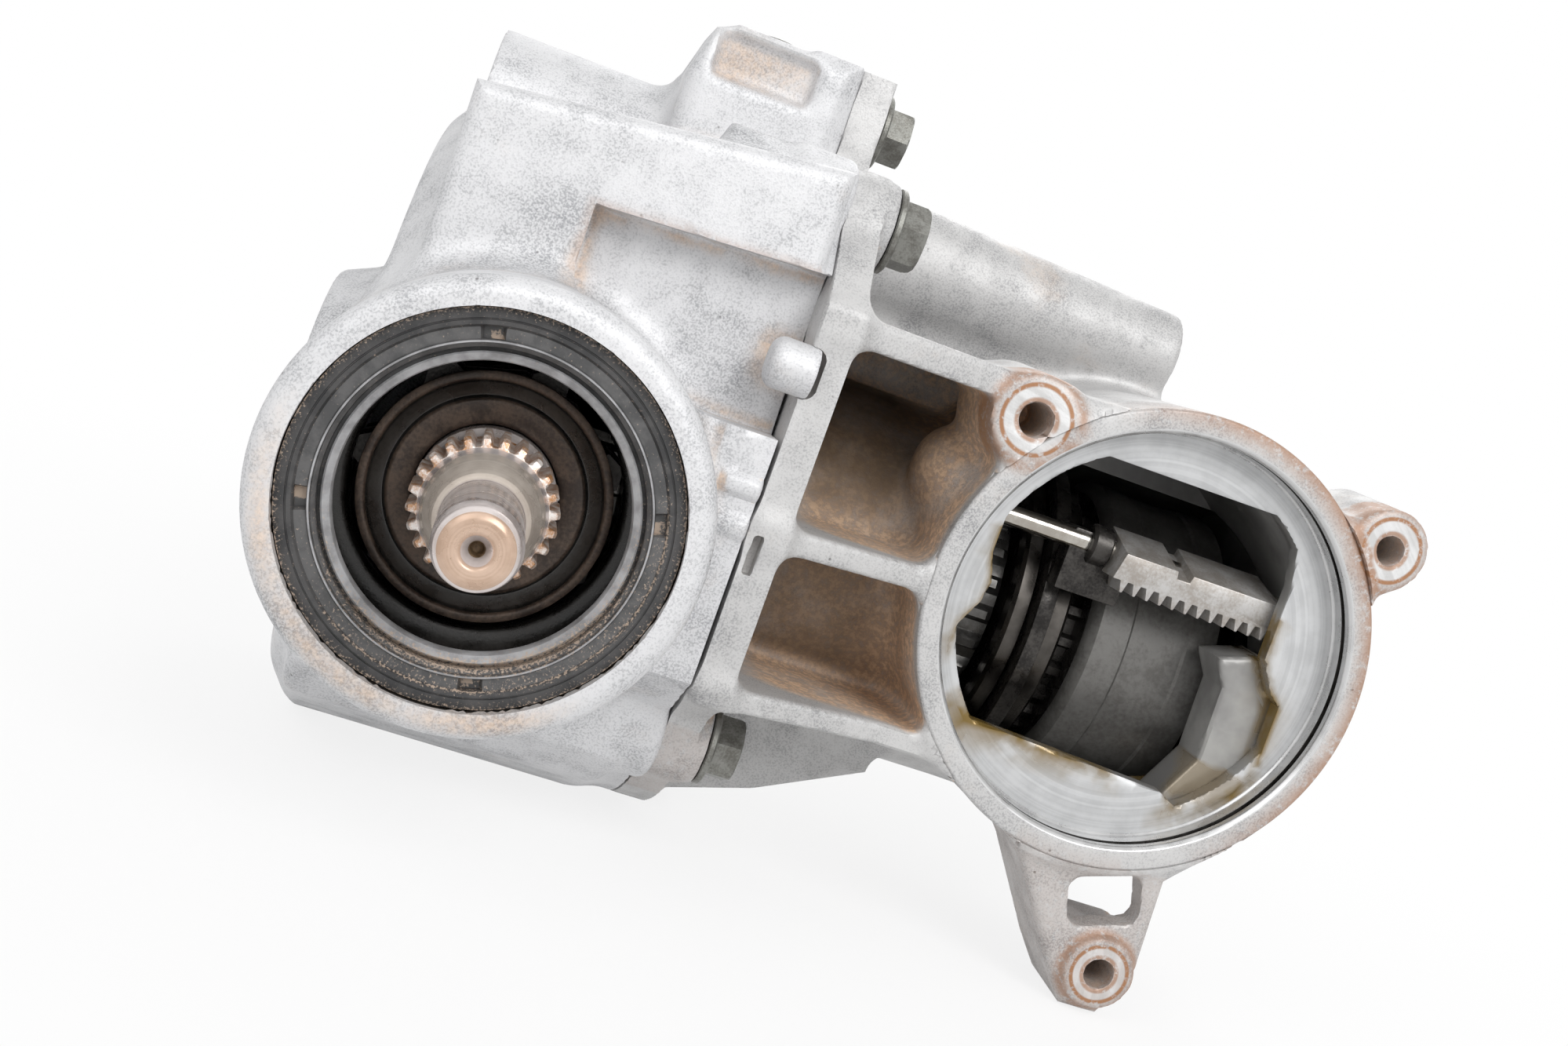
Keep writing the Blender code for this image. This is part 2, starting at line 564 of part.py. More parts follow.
def make_cover():
    cover = prism("side_cover", "x", flange_outline(), COVER_X, COVER_X + COVER_PLATE)
    hub = rod("cover_hub", "x", AXLE, RING_BACK_X + CARRIER_FLANGE + 3.0, COVER_X + 2.0, 34.0)
    plate_x = COVER_X + COVER_PLATE
    tube = turned("axle_tube", "x", AXLE, [
        (0, COVER_X + 2.0), (HUB_TUBE_R + 8.0, COVER_X + 2.0), (HUB_TUBE_R + 8.0, plate_x),
        (HUB_TUBE_R, plate_x + 7.0),
        (HUB_TUBE_R, CHAMBER_LEFT_X - 6.0), (AXLE_TUBE_R, CHAMBER_LEFT_X), (AXLE_TUBE_R, AXLE_TUBE_X - 9.0),
        (AXLE_TUBE_R - 4.0, AXLE_TUBE_X - 7.0), (AXLE_TUBE_R - 6.0, AXLE_TUBE_X - 1.0), (20.0, AXLE_TUBE_X),
        (0, AXLE_TUBE_X)], sides=LARGE)
    cup = rod("cup", "y", (MOUTH_X, 0, MOUTH_Z), MOUTH_Y, AXLE_Y, CUP_R, sides=LARGE)
    join(cover, hub, tube, cup)
    for index, (z, thick) in enumerate(RIBS):
        join(cover, prism(f"rib_{index}", "z", [
            (COVER_X + 2.0, RIB_FRONT_Y), (plate_x, RIB_FRONT_Y), (RIB_CUP_X, MOUTH_Y + 1.5),
            (RIB_CUP_X + 22.0, MOUTH_Y + 1.5), (RIB_CUP_X + 22.0, AXLE_Y - 2.0),
            (COVER_X + 2.0, AXLE_Y - 2.0)], z - thick / 2, z + thick / 2))
    join(cover, prism("lower_web", "y", [
        (COVER_X + 2.0, -60.0), (plate_x + 2.0, -60.0), (77.0, -54.0), (100.0, -43.0), (100.0, -24.0),
        (COVER_X + 2.0, -24.0)], 86.0, 104.0))
    for index, (y, z) in enumerate(BOLTS):
        join(cover, rod(f"cover_lug_{index}", "x", (0, y, z), COVER_X + 3.0, plate_x + LUG_STAND, LUG_R - 0.1,
                        sides=SMALL))
    right_tube = rod("right_tube", "x", (0, TUBE_Y, TUBE_Z), COVER_X + 2.0, RIGHT_TUBE_X,
                     RIGHT_TUBE_ROOT_R, RIGHT_TUBE_END_R)
    web = box("right_web", (COVER_X + 2.0, TUBE_Y - 4.0, 30.0), (118.0, TUBE_Y + 4.0, TUBE_Z - 6.0))
    join(cover, right_tube, web)
    for index, (x, z, radius, _) in enumerate(EARS[:2]):
        join(cover, rod(f"ear_{index}", "y", (x, 0, z), MOUTH_Y, MOUTH_Y + EAR_DEPTH, radius, radius + 1.0,
                        sides=32))
        inward = (MOUTH_X - x, MOUTH_Z - z)
        reach = math.hypot(*inward)
        unit = (inward[0] / reach, inward[1] / reach)
        over = (-unit[1] * (radius - 0.3), unit[0] * (radius - 0.3))
        foot = (x + unit[0] * 14.0, z + unit[1] * 14.0)
        join(cover, prism(f"ear_web_{index}", "y", [
            (x + over[0], z + over[1]), (x - over[0], z - over[1]), (foot[0] - over[0], foot[1] - over[1]),
            (foot[0] + over[0], foot[1] + over[1])], MOUTH_Y + 1.5, MOUTH_Y + EAR_DEPTH))
    ear = EARS[2]
    join(cover, prism("lower_ear", "y", [
        (121.0, -30.0), (123.2, -38.0), (139.0, -61.0), (144.5, BASE_Z), (153.0, BASE_Z), (157.8, -56.0),
        (156.6, -37.0), (164.8, -26.4), (172.0, -14.0)], MOUTH_Y + 2.0, MOUTH_Y + EAR_DEPTH))
    join(cover, rod("ear_2", "y", (ear[0], 0, ear[1]), MOUTH_Y, MOUTH_Y + EAR_DEPTH - 1.0, ear[2],
                    sides=32))

    seat_end = RING_BACK_X + CARRIER_FLANGE + 4.0 + CARRIER_BEARING_WIDTH + 2 * GAP
    output_end = CHAMBER_RIGHT_X + OUTPUT_BEARING_WIDTH + 2 * GAP
    room = turned("cover_room", "x", AXLE, [
        (0, 20.0), (CARRIER_BEARING_R + GAP, 20.0), (CARRIER_BEARING_R + GAP, seat_end), (19.0, seat_end),
        (19.0, plate_x + 6.0), (31.0, plate_x + 10.0), (31.0, CHAMBER_LEFT_X - 5.0),
        (19.0, CHAMBER_LEFT_X - 5.0), (19.0, CHAMBER_LEFT_X), (AXLE_TUBE_R - AXLE_TUBE_WALL, CHAMBER_LEFT_X),
        (AXLE_TUBE_R - AXLE_TUBE_WALL, CHAMBER_RIGHT_X), (OUTPUT_BEARING_R + GAP, CHAMBER_RIGHT_X),
        (OUTPUT_BEARING_R + GAP, output_end), (AXLE_SEAL_R + 4.0 + GAP, output_end),
        (AXLE_SEAL_R + 4.0 + GAP, AXLE_TUBE_X + 1.0), (0, AXLE_TUBE_X + 1.0)], sides=LARGE)
    mouth = turned("mouth_room", "y", (MOUTH_X, 0, MOUTH_Z), [
        (0, MOUTH_Y - 1.0), (MOUTH_R, MOUTH_Y - 1.0), (MOUTH_R, MOUTH_Y + MOUTH_DEPTH),
        (CHAMBER_R - 0.4, MOUTH_Y + MOUTH_DEPTH), (CHAMBER_R - 0.4, AXLE_Y - 9.0), (0, AXLE_Y - 9.0)],
        sides=LARGE)
    cut(cover, room, mouth)
    groove_out = SEAL_GROOVE_R + SEAL_GROOVE_WIDTH
    groove_floor = MOUTH_Y + SEAL_GROOVE_DEPTH
    groove = turned("register_groove", "y", (MOUTH_X, 0, MOUTH_Z), [
        (groove_out, MOUTH_Y - 1.0), (groove_out, groove_floor), (SEAL_GROOVE_R, groove_floor),
        (SEAL_GROOVE_R, MOUTH_Y - 1.0)], sides=LARGE)
    cut(cover, groove)
    cut(cover, rod("guide_bore", "x", (0, GUIDE_Y, GUIDE_Z), GUIDE_LEFT_X - GAP, GUIDE_RIGHT_X + GAP,
                   GUIDE_R + GAP, sides=SMALL))
    for index, (x, z, _, hole) in enumerate(EARS):
        cut(cover, rod(f"ear_hole_{index}", "y", (x, 0, z), MOUTH_Y - 1.0, MOUTH_Y + 18.0, hole, sides=SMALL))
    lean = math.radians(SLOT_LEAN)
    corners = [(a * SLOT_WIDTH / 2, b * SLOT_HEIGHT / 2) for a, b in ((-1, -1), (1, -1), (1, 1), (-1, 1))]
    turn = Matrix.Rotation(lean, 2)
    slot = [Vector((SLOT_X, SLOT_Z)) + turn @ Vector(corner) for corner in corners]
    cut(cover, prism("ear_slot", "y", slot, MOUTH_Y, MOUTH_Y + EAR_DEPTH + 2.0))
    cut(cover, rod("right_tube_bore", "x", (0, TUBE_Y, TUBE_Z), RIGHT_TUBE_X - 30.0, RIGHT_TUBE_X + 1.0,
                   RIGHT_TUBE_BORE_R, sides=SMALL))
    for index, (y, z) in enumerate(BOLTS):
        cut(cover, rod(f"cover_hole_{index}", "x", (0, y, z), COVER_X - 1.0, plate_x + LUG_STAND + 1.0,
                       BOLT_R + GAP, sides=SMALL))
    for index, (y, z) in enumerate(DOWELS):
        cut(cover, rod(f"cover_dowel_{index}", "x", (0, y, z), COVER_X - 1.0,
                       PARTING_X + DOWEL_LENGTH / 2 + GAP, DOWEL_R + GAP, sides=SMALL))
    return finish(cover, "cast")


def make_pinion_line():
    half = SEAL_OD / 2
    lip = SEAL_ID / 2
    finish(turned("pinion_seal", "y", PINION, [
        (half, 0.6), (half, SEAL_WIDTH), (half - 2.4, SEAL_WIDTH), (half - 2.4, 3.4), (lip + 3.6, 3.4),
        (lip + 3.6, 7.4), (lip, 5.4), (lip, 3.0), (lip + 1.6, 1.4), (lip + 2.6, 0.0), (half - 0.8, 0.0)],
        sides=LARGE), "rubber")
    finish(turned("seal_spring", "y", PINION, [
        (lip + 4.85 + 0.9 * math.cos(t), 4.9 + 0.9 * math.sin(t))
        for t in [2 * math.pi * k / 6 for k in range(6)]], sides=ROUND), "steel")
    finish(turned("oil_slinger", "y", PINION, [
        (SLINGER_R, SLINGER_Y), (SLINGER_R, SLINGER_Y + 1.6), (JOURNAL_R + 5.0, SLINGER_Y + 4.0),
        (JOURNAL_R + 5.0, FRONT_BEARING_Y - GAP), (JOURNAL_R + GAP, FRONT_BEARING_Y - GAP),
        (JOURNAL_R + GAP, SLINGER_Y + 0.6), (JOURNAL_R + 3.0, SLINGER_Y + 0.6)]), "rust")
    bearing("pinion_front_bearing", "y", PINION, FRONT_BEARING_Y, PINION_BEARING_WIDTH,
            JOURNAL_R + GAP, PINION_BEARING_R)
    bearing("pinion_rear_bearing", "y", PINION, FRONT_BEARING_Y + PINION_BEARING_WIDTH + GAP,
            PINION_BEARING_WIDTH, JOURNAL_R + GAP, PINION_BEARING_R)

    outer = CONE_LENGTH * math.cos(PINION_CONE)
    head_rear = AXLE_Y - PINION_TAIL_Y - GAP
    pinion = bevel_gear("drive_pinion", AXLE, (0, -1, 0), (1, 0, 0), PINION_TEETH, RING_TEETH,
                        RING_PITCH_R * PITCH_RATIO, GEAR_FACE,
                        [(head_rear, 15.5), (head_rear, 3.0), (outer - GEAR_FACE + 1.5, 3.0)],
                        phase=0.0)
    shaft = turned("pinion_shaft", "y", PINION, [
        (0, -NOSE_LENGTH + 3.0), (2.0, -NOSE_LENGTH + 1.2), (2.4, -NOSE_LENGTH), (NOSE_R - 1.0, -NOSE_LENGTH),
        (NOSE_R, -NOSE_LENGTH + 1.0), (NOSE_R, -3.4), (SPLINE_R - 2.0, -0.8), (SPLINE_R - 1.6, 0.2),
        (JOURNAL_R - 1.0, 0.4), (JOURNAL_R - 1.0, SPLINE_LENGTH - 0.5), (JOURNAL_R, SPLINE_LENGTH + 1.0),
        (JOURNAL_R, PINION_TAIL_Y + 1.0), (9.0, PINION_TAIL_Y + 6.0), (9.0, AXLE_Y - outer + GEAR_FACE - 2.0),
        (0, AXLE_Y - outer + GEAR_FACE - 2.0)])
    outline = spline_outline(SPLINE_TEETH, SPLINE_R, SPLINE_R - SPLINE_DEPTH)
    spline = prism("pinion_spline", "y", outline, 0.2, SPLINE_LENGTH)
    join(pinion, shaft, spline)
    finish(pinion, "steel")


def make_carrier_group():
    right_x = RING_BACK_X + CARRIER_FLANGE + GAP
    bearing_x = right_x + 4.0 - GAP
    carrier = turned("carrier", "x", AXLE, [
        (HUB_R + GAP, CARRIER_LEFT_X - CARRIER_BEARING_WIDTH - GAP),
        (TRUNNION_R, CARRIER_LEFT_X - CARRIER_BEARING_WIDTH - GAP), (TRUNNION_R, CARRIER_LEFT_X),
        (24.0, CARRIER_LEFT_X), (CARRIER_R, CARRIER_LEFT_X + 6.0), (CARRIER_R, RING_BACK_X - 12.0),
        (RING_BORE_R - GAP, RING_BACK_X - 11.0), (RING_BORE_R - GAP, RING_BACK_X + GAP),
        (CARRIER_FLANGE_R, RING_BACK_X + GAP), (CARRIER_FLANGE_R, right_x), (30.0, right_x),
        (TRUNNION_R + 3.0, right_x + 3.0), (TRUNNION_R, right_x + 3.0),
        (TRUNNION_R, bearing_x + CARRIER_BEARING_WIDTH + GAP),
        (HUB_R + GAP, bearing_x + CARRIER_BEARING_WIDTH + GAP)], sides=ROUND)
    room = turned("carrier_room_inside", "x", AXLE, [
        (0, CARRIER_MID_X - CARRIER_ROOM), (20.0, CARRIER_MID_X - CARRIER_ROOM),
        (CARRIER_CAVITY_R, CARRIER_MID_X - 9.0), (CARRIER_CAVITY_R, CARRIER_MID_X + 9.0),
        (20.0, CARRIER_MID_X + CARRIER_ROOM), (0, CARRIER_MID_X + CARRIER_ROOM)])
    window = box("carrier_window", (CARRIER_MID_X - 12.0, AXLE_Y - 60.0, -15.0),
                 (CARRIER_MID_X + 8.0, AXLE_Y + 60.0, 15.0))
    pin_bore = rod("pin_bore", "z", (CARRIER_MID_X, AXLE_Y, 0), -60.0, 60.0, CROSS_PIN_R + GAP, sides=SMALL)
    cut(carrier, room, window, pin_bore)
    finish(carrier, "cast")
    ring = bevel_gear("ring_gear", AXLE, (1, 0, 0), (0, -1, 0), RING_TEETH, PINION_TEETH, RING_PITCH_R,
                      GEAR_FACE, [(RING_BACK_X, RING_PITCH_R + 1.0), (RING_BACK_X, RING_BORE_R),
                                  (15.5, RING_BORE_R)], phase=math.pi / RING_TEETH)
    finish(ring, "steel")
    finish(rod("cross_pin", "z", (CARRIER_MID_X, AXLE_Y, 0), -CARRIER_R + 0.5, CARRIER_R - 0.5, CROSS_PIN_R,
               sides=SMALL), "steel")
    middle = (CARRIER_MID_X, AXLE_Y, 0)
    spider_r = SIDE_PITCH_R * SPIDER_TEETH / SIDE_TEETH
    for name, way in (("left", -1), ("right", 1)):
        length = (CARRIER_MID_X - CARRIER_LEFT_X + CARRIER_BEARING_WIDTH - 1.0 if way < 0
                  else bearing_x + CARRIER_BEARING_WIDTH - CARRIER_MID_X)
        gear = bevel_gear(f"side_gear_{name}", middle, (way, 0, 0), (0, 0, 1), SIDE_TEETH, SPIDER_TEETH,
                          SIDE_PITCH_R, SIDE_FACE, [(15.5, 18.0), (15.5, HUB_R), (length, HUB_R),
                                                    (length, SHAFT_R + GAP), (9.0, SHAFT_R + GAP)])
        finish(gear, "steel")
    for name, way in (("top", 1), ("bottom", -1)):
        gear = bevel_gear(f"spider_gear_{name}", middle, (0, 0, way), (1, 0, 0), SPIDER_TEETH, SIDE_TEETH,
                          spider_r, SIDE_FACE, [(23.0, 11.5), (23.0, CROSS_PIN_R + GAP),
                                                (11.0, CROSS_PIN_R + GAP)],
                          phase=math.pi / SPIDER_TEETH)
        finish(gear, "steel")
    bearing("carrier_left_bearing", "x", AXLE, CARRIER_LEFT_X - CARRIER_BEARING_WIDTH,
            CARRIER_BEARING_WIDTH - GAP, TRUNNION_R + GAP, CARRIER_BEARING_R)
    bearing("carrier_right_bearing", "x", AXLE, bearing_x, CARRIER_BEARING_WIDTH, TRUNNION_R + GAP,
            CARRIER_BEARING_R)


def make_axle_seal(name, outside, bore, start, way):
    end = start + way * AXLE_SEAL_WIDTH
    finish(turned(name, "x", AXLE, [
        (outside, start), (outside, end), (outside - 1.6, end), (outside - 1.6, start + way * 2.0),
        (bore + 2.0, start + way * 2.0), (bore + 2.0, end - way * 1.0), (bore, end - way * 2.0),
        (bore, start + way * 1.0), (bore + 1.0, start)], sides=SMALL * 2), "rubber")


def make_output_line():
    shaft_start = CARRIER_MID_X + 14.0
    finish(turned("intermediate_shaft", "x", AXLE, [
        (0, shaft_start), (SHAFT_R - 1.0, shaft_start), (SHAFT_R, shaft_start + 1.0),
        (SHAFT_R, CLUTCH_X + CLUTCH_WIDTH), (0, CLUTCH_X + CLUTCH_WIDTH)], sides=SMALL), "steel")
    gear = spline_rod("clutch_gear", (AXLE_Y, 0), CLUTCH_X, CLUTCH_X + CLUTCH_WIDTH, DOG_TEETH, CLUTCH_R,
                      DOG_ROOT_R)
    cut(gear, rod("clutch_bore", "x", AXLE, CLUTCH_X - 2.0, CLUTCH_X + CLUTCH_WIDTH + 2.0, SHAFT_R + GAP,
                  sides=SMALL))
    finish(gear, "rack")
    output = turned("output_shaft", "x", AXLE, [
        (0, SPLINE_HUB_X), (DOG_ROOT_R, SPLINE_HUB_X), (DOG_ROOT_R, DRUM_START_X),
        (CLUTCH_DRUM_R - 2.0, DRUM_START_X),
        (CLUTCH_DRUM_R, DRUM_START_X + 2.0), (CLUTCH_DRUM_R, DRUM_END_X - 3.0),
        (CLUTCH_DRUM_R - 6.0, DRUM_END_X),
        (OUTPUT_R + 3.0, DRUM_END_X + 4.0), (OUTPUT_R, CHAMBER_RIGHT_X), (OUTPUT_R, AXLE_TUBE_X - 1.0),
        (SHAFT_R, AXLE_TUBE_X - 1.0), (SHAFT_R, 150.0), (0, 148.0)], sides=ROUND)
    teeth = spline_rod("output_spline", (AXLE_Y, 0), SPLINE_HUB_X, DRUM_START_X + 0.5, DOG_TEETH, CLUTCH_R,
                       DOG_ROOT_R, tip_share=0.26, root_share=0.42)
    join(output, teeth)
    finish(output, "cast")
    bearing("output_bearing", "x", AXLE, CHAMBER_RIGHT_X + GAP, OUTPUT_BEARING_WIDTH, OUTPUT_R + GAP,
            OUTPUT_BEARING_R)
    sleeve_end = SLEEVE_X + SLEEVE_LENGTH
    groove = SLEEVE_X + FORK_GROOVE_X
    sleeve = turned("shift_sleeve", "x", AXLE, [
        (DOG_ROOT_R + 0.9, SLEEVE_X), (SLEEVE_R, SLEEVE_X), (SLEEVE_R, groove), (FORK_GROOVE_R, groove),
        (FORK_GROOVE_R, groove + FORK_GROOVE_WIDTH), (SLEEVE_R, groove + FORK_GROOVE_WIDTH),
        (SLEEVE_R, sleeve_end), (DOG_ROOT_R + 0.9, sleeve_end)], sides=ROUND)
    tooth_x = SLEEVE_X + SLEEVE_TOOTH_START
    cut(sleeve, rod("sleeve_bore", "x", AXLE, SLEEVE_X - 1.0, tooth_x, SLEEVE_BORE_R),
        spline_rod("sleeve_teeth", (AXLE_Y, 0), tooth_x - 1.5, sleeve_end + 1.0, DOG_TEETH,
                   SLEEVE_BORE_R - 0.2, DOG_ROOT_R + 0.4, tip_share=0.46, root_share=0.60))
    finish(sleeve, "steel")
    make_axle_seal("left_axle_seal", AXLE_SEAL_R, HUB_R, LEFT_BOSS_X + 0.2, 1)
    make_axle_seal("right_axle_seal", AXLE_SEAL_R + 4.0, OUTPUT_R + GAP, AXLE_TUBE_X - 0.2, -1)


def make_shift_fork():
    back = RACK_FRONT_Y + RACK_DEPTH
    groove_mid = SLEEVE_X + FORK_GROOVE_X + FORK_GROOVE_WIDTH / 2
    half = FORK_GROOVE_WIDTH / 2 - 0.5
    root = RACK_TOP_Z - RACK_HEIGHT
    rack = box("shift_rack", (RACK_X, RACK_FRONT_Y, root), (RACK_X + RACK_LENGTH, back, RACK_TOP_Z))
    pitch = RACK_LENGTH / (RACK_TEETH + 1.5)
    teeth = [(RACK_X, root + 1.5), (RACK_X, root)]
    for index in range(RACK_TEETH):
        start = RACK_X + pitch * (index + 0.9)
        teeth += [(start - pitch * 0.28, root), (start - pitch * 0.12, root - RACK_TOOTH),
                  (start + pitch * 0.12, root - RACK_TOOTH), (start + pitch * 0.28, root)]
    teeth += [(RACK_X + RACK_LENGTH, root), (RACK_X + RACK_LENGTH, root + 1.5)]
    neck = box("fork_neck", (groove_mid - half, GUIDE_Y - 1.5, 12.0),
               (RACK_X + 6.0, back + 0.5, RACK_TOP_Z - 0.5))
    yoke = turned("fork_yoke", "x", AXLE, [
        (FORK_GROOVE_R + 0.6, groove_mid - half), (AXLE_TUBE_R - AXLE_TUBE_WALL - 1.2, groove_mid - half),
        (AXLE_TUBE_R - AXLE_TUBE_WALL - 1.2, groove_mid + half), (FORK_GROOVE_R + 0.6, groove_mid + half)])
    cut(yoke, box("yoke_cut", (90.0, AXLE_Y - 6.0, -50.0), (150.0, AXLE_Y + 60.0, 50.0)))
    join(rack, prism("rack_teeth", "y", teeth, RACK_FRONT_Y, back - 1.5), neck, yoke)
    cut(rack, rod("rack_bore", "x", (0, GUIDE_Y, GUIDE_Z), 100.0, 175.0, GUIDE_R + GAP, sides=SMALL))
    cut(rack, box("rack_notch", (RACK_X + 13.0, RACK_FRONT_Y - 1.0, RACK_TOP_Z - 1.6),
                  (RACK_X + 16.5, back + 1.0, RACK_TOP_Z + 1.0)))
    finish(rack, "rack")
    bar = rod("guide_bar", "x", (0, GUIDE_Y, GUIDE_Z), GUIDE_LEFT_X, GUIDE_RIGHT_X, GUIDE_R, sides=16)
    finish(bar, "steel")


def make_fasteners():
    face = COVER_X + COVER_PLATE + LUG_STAND + GAP
    for index, (y, z) in enumerate(BOLTS):
        bolt = rod(f"flange_bolt_{index + 1}", "x", (0, y, z), BOLT_TIP_X, face + 0.5, BOLT_R, sides=SMALL)
        washer = rod(f"washer_{index}", "x", (0, y, z), face, face + WASHER_THICK, WASHER_R, sides=SMALL)
        seat = face + WASHER_THICK
        head = rod(f"head_{index}", "x", (0, y, z), seat - 0.2, seat + BOLT_HEAD, BOLT_FLATS / math.sqrt(3),
                   sides=6)
        join(bolt, washer, head)
        finish(bolt, "bolt")
    for index, (y, z) in enumerate(DOWELS):
        finish(rod(f"dowel_{index + 1}", "x", (0, y, z), PARTING_X - DOWEL_LENGTH / 2,
                   PARTING_X + DOWEL_LENGTH / 2, DOWEL_R, sides=SMALL), "steel")
    fill = (FILL_X, 0, FILL_Z)
    plug = rod("fill_plug", "y", fill, FILL_FACE_Y - 10.0, FILL_FACE_Y + 2 * GAP, FILL_R, sides=SMALL)
    join(plug, rod("fill_head", "y", fill, FILL_FACE_Y + GAP, FILL_FACE_Y + 5.0, FILL_R + 3.0, sides=SMALL))
    cut(plug, rod("fill_socket", "y", fill, FILL_FACE_Y - 1.0, FILL_FACE_Y + 7.0, 5.0, sides=6))
    finish(plug, "bolt")
    place = (*DRAIN, 0)
    top = BASE_Z + DRAIN_RECESS - GAP
    drain = rod("drain_plug", "z", place, top - 3.6, top, DRAIN_R + 3.5, sides=SMALL)
    join(drain, rod("drain_thread", "z", place, top - 1.0, top + 4.2, DRAIN_R, sides=SMALL))
    cut(drain, rod("drain_socket", "z", place, top - 6.0, top - 0.5, 5.0, sides=6))
    finish(drain, "bolt")
    spot = (*BREATHER, 0)
    vent = rod("breather", "z", spot, HUMP_TOP_Z - 8.0, HUMP_TOP_Z + GAP + 0.5, BREATHER_R, sides=16)
    join(vent, rod("breather_cap", "z", spot, HUMP_TOP_Z + GAP, HUMP_TOP_Z + BREATHER_CAP, BREATHER_R + 1.5,
                   sides=16))
    finish(vent, "bolt")


make_main_case()
make_cover()
make_pinion_line()
make_carrier_group()
make_output_line()
make_shift_fork()
make_fasteners()
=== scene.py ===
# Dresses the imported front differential: castings from rounded fields, turned and toothed pieces from rings,
# and finishes from shader nodes. Shapes are in millimetres from the middle of the pinion seal's front face.
import math

import bmesh
import bpy
import numpy as np
from mathutils import Matrix, Vector


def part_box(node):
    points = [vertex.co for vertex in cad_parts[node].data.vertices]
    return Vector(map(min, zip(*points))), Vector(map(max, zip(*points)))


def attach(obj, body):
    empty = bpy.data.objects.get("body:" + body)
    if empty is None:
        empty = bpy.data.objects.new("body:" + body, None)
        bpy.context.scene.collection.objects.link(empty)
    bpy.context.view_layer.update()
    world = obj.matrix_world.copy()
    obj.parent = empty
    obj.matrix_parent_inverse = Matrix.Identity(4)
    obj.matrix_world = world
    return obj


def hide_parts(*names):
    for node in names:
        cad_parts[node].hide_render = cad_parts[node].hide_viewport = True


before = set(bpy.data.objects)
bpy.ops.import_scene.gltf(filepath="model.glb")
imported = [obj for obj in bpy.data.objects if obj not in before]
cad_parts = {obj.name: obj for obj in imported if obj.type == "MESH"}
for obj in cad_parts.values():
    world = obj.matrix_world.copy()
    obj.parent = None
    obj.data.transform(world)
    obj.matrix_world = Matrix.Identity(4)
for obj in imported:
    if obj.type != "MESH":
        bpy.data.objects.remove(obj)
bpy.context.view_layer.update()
bpy.context.scene.view_settings.view_transform = "Standard"

sealLow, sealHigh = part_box("pinion_seal")
sealFace = np.array([(sealLow.x + sealHigh.x) / 2, sealLow.y, (sealLow.z + sealHigh.z) / 2]) * 1000.0
axleY = 105.0
axlePlace = (0.0, axleY, 0.0)
pinionPlace = (0.0, 0.0, 0.0)
fitGap = 0.3


def toWorld(points):
    # local millimetres to metres in the frame
    return (np.asarray(points, float) + sealFace) / 1000.0


def makeMesh(name, points, *faceSets):
    # whole arrays of corners and of faces go into one mesh
    mesh = bpy.data.meshes.new(name)
    world = toWorld(points)
    mesh.vertices.add(len(world))
    mesh.vertices.foreach_set("co", world.astype(np.float32).ravel())
    loops = np.concatenate([faces.ravel() for faces in faceSets])
    sizes = np.concatenate([np.full(len(faces), faces.shape[1]) for faces in faceSets])
    mesh.loops.add(len(loops))
    mesh.loops.foreach_set("vertex_index", loops.astype(np.int32))
    mesh.polygons.add(len(sizes))
    mesh.polygons.foreach_set("loop_start", (np.cumsum(sizes) - sizes).astype(np.int32))
    mesh.update(calc_edges=True)
    mesh.validate()
    return mesh


def tidyMesh(mesh, sharpDegrees):
    # merges doubles, turns the faces outwards and shades round faces smooth
    shape = bmesh.new()
    shape.from_mesh(mesh)
    bmesh.ops.remove_doubles(shape, verts=shape.verts, dist=2e-6)
    bmesh.ops.dissolve_degenerate(shape, edges=shape.edges, dist=1e-6)
    bmesh.ops.recalc_face_normals(shape, faces=shape.faces)
    shape.to_mesh(mesh)
    shape.free()
    mesh.shade_smooth()
    mesh.set_sharp_from_angle(angle=math.radians(sharpDegrees))


def placePiece(name, mesh, body, looks, replaced=()):
    # a finished piece: its materials, the body it rides on and the CAD nodes it stands for
    piece = bpy.data.objects.new(name, mesh)
    bpy.context.scene.collection.objects.link(piece)
    for look in looks:
        mesh.materials.append(look)
    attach(piece, body)
    if replaced:
        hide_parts(*replaced)
    return piece


# Fields: signed distances, negative inside a solid.
def softMin(a, b, blend):
    # the nearer of two fields, with a fillet of about this size where they meet
    share = np.clip(0.5 + 0.5 * (b - a) / blend, 0.0, 1.0)
    return b + (a - b) * share - blend * share * (1.0 - share)


def softCut(a, b, blend):
    # field a without field b, its edge eased by the blend
    return -softMin(-a, b, blend)


def pushed(outline, along, low, high, ease):
    # an outline's distance carried from low to high, with its rims rounded by ease
    across = outline + ease
    ends = np.abs(along - (low + high) / 2) - (high - low) / 2 + ease
    rim = np.hypot(np.maximum(across, 0), np.maximum(ends, 0))
    return np.minimum(np.maximum(across, ends), 0.0) + rim - ease


def roundBar(u, v, along, centre, radius, low, high, ease):
    return pushed(np.hypot(u - centre[0], v - centre[1]) - radius, along, low, high, ease)


def coneBar(u, v, along, centre, radii, low, high, ease):
    # a bar whose radius goes evenly from the first to the last
    slope = (radii[1] - radii[0]) / (high - low)
    radius = radii[0] + slope * (along - low)
    outline = (np.hypot(u - centre[0], v - centre[1]) - radius) / math.hypot(1, slope)
    return pushed(outline, along, low, high, ease)


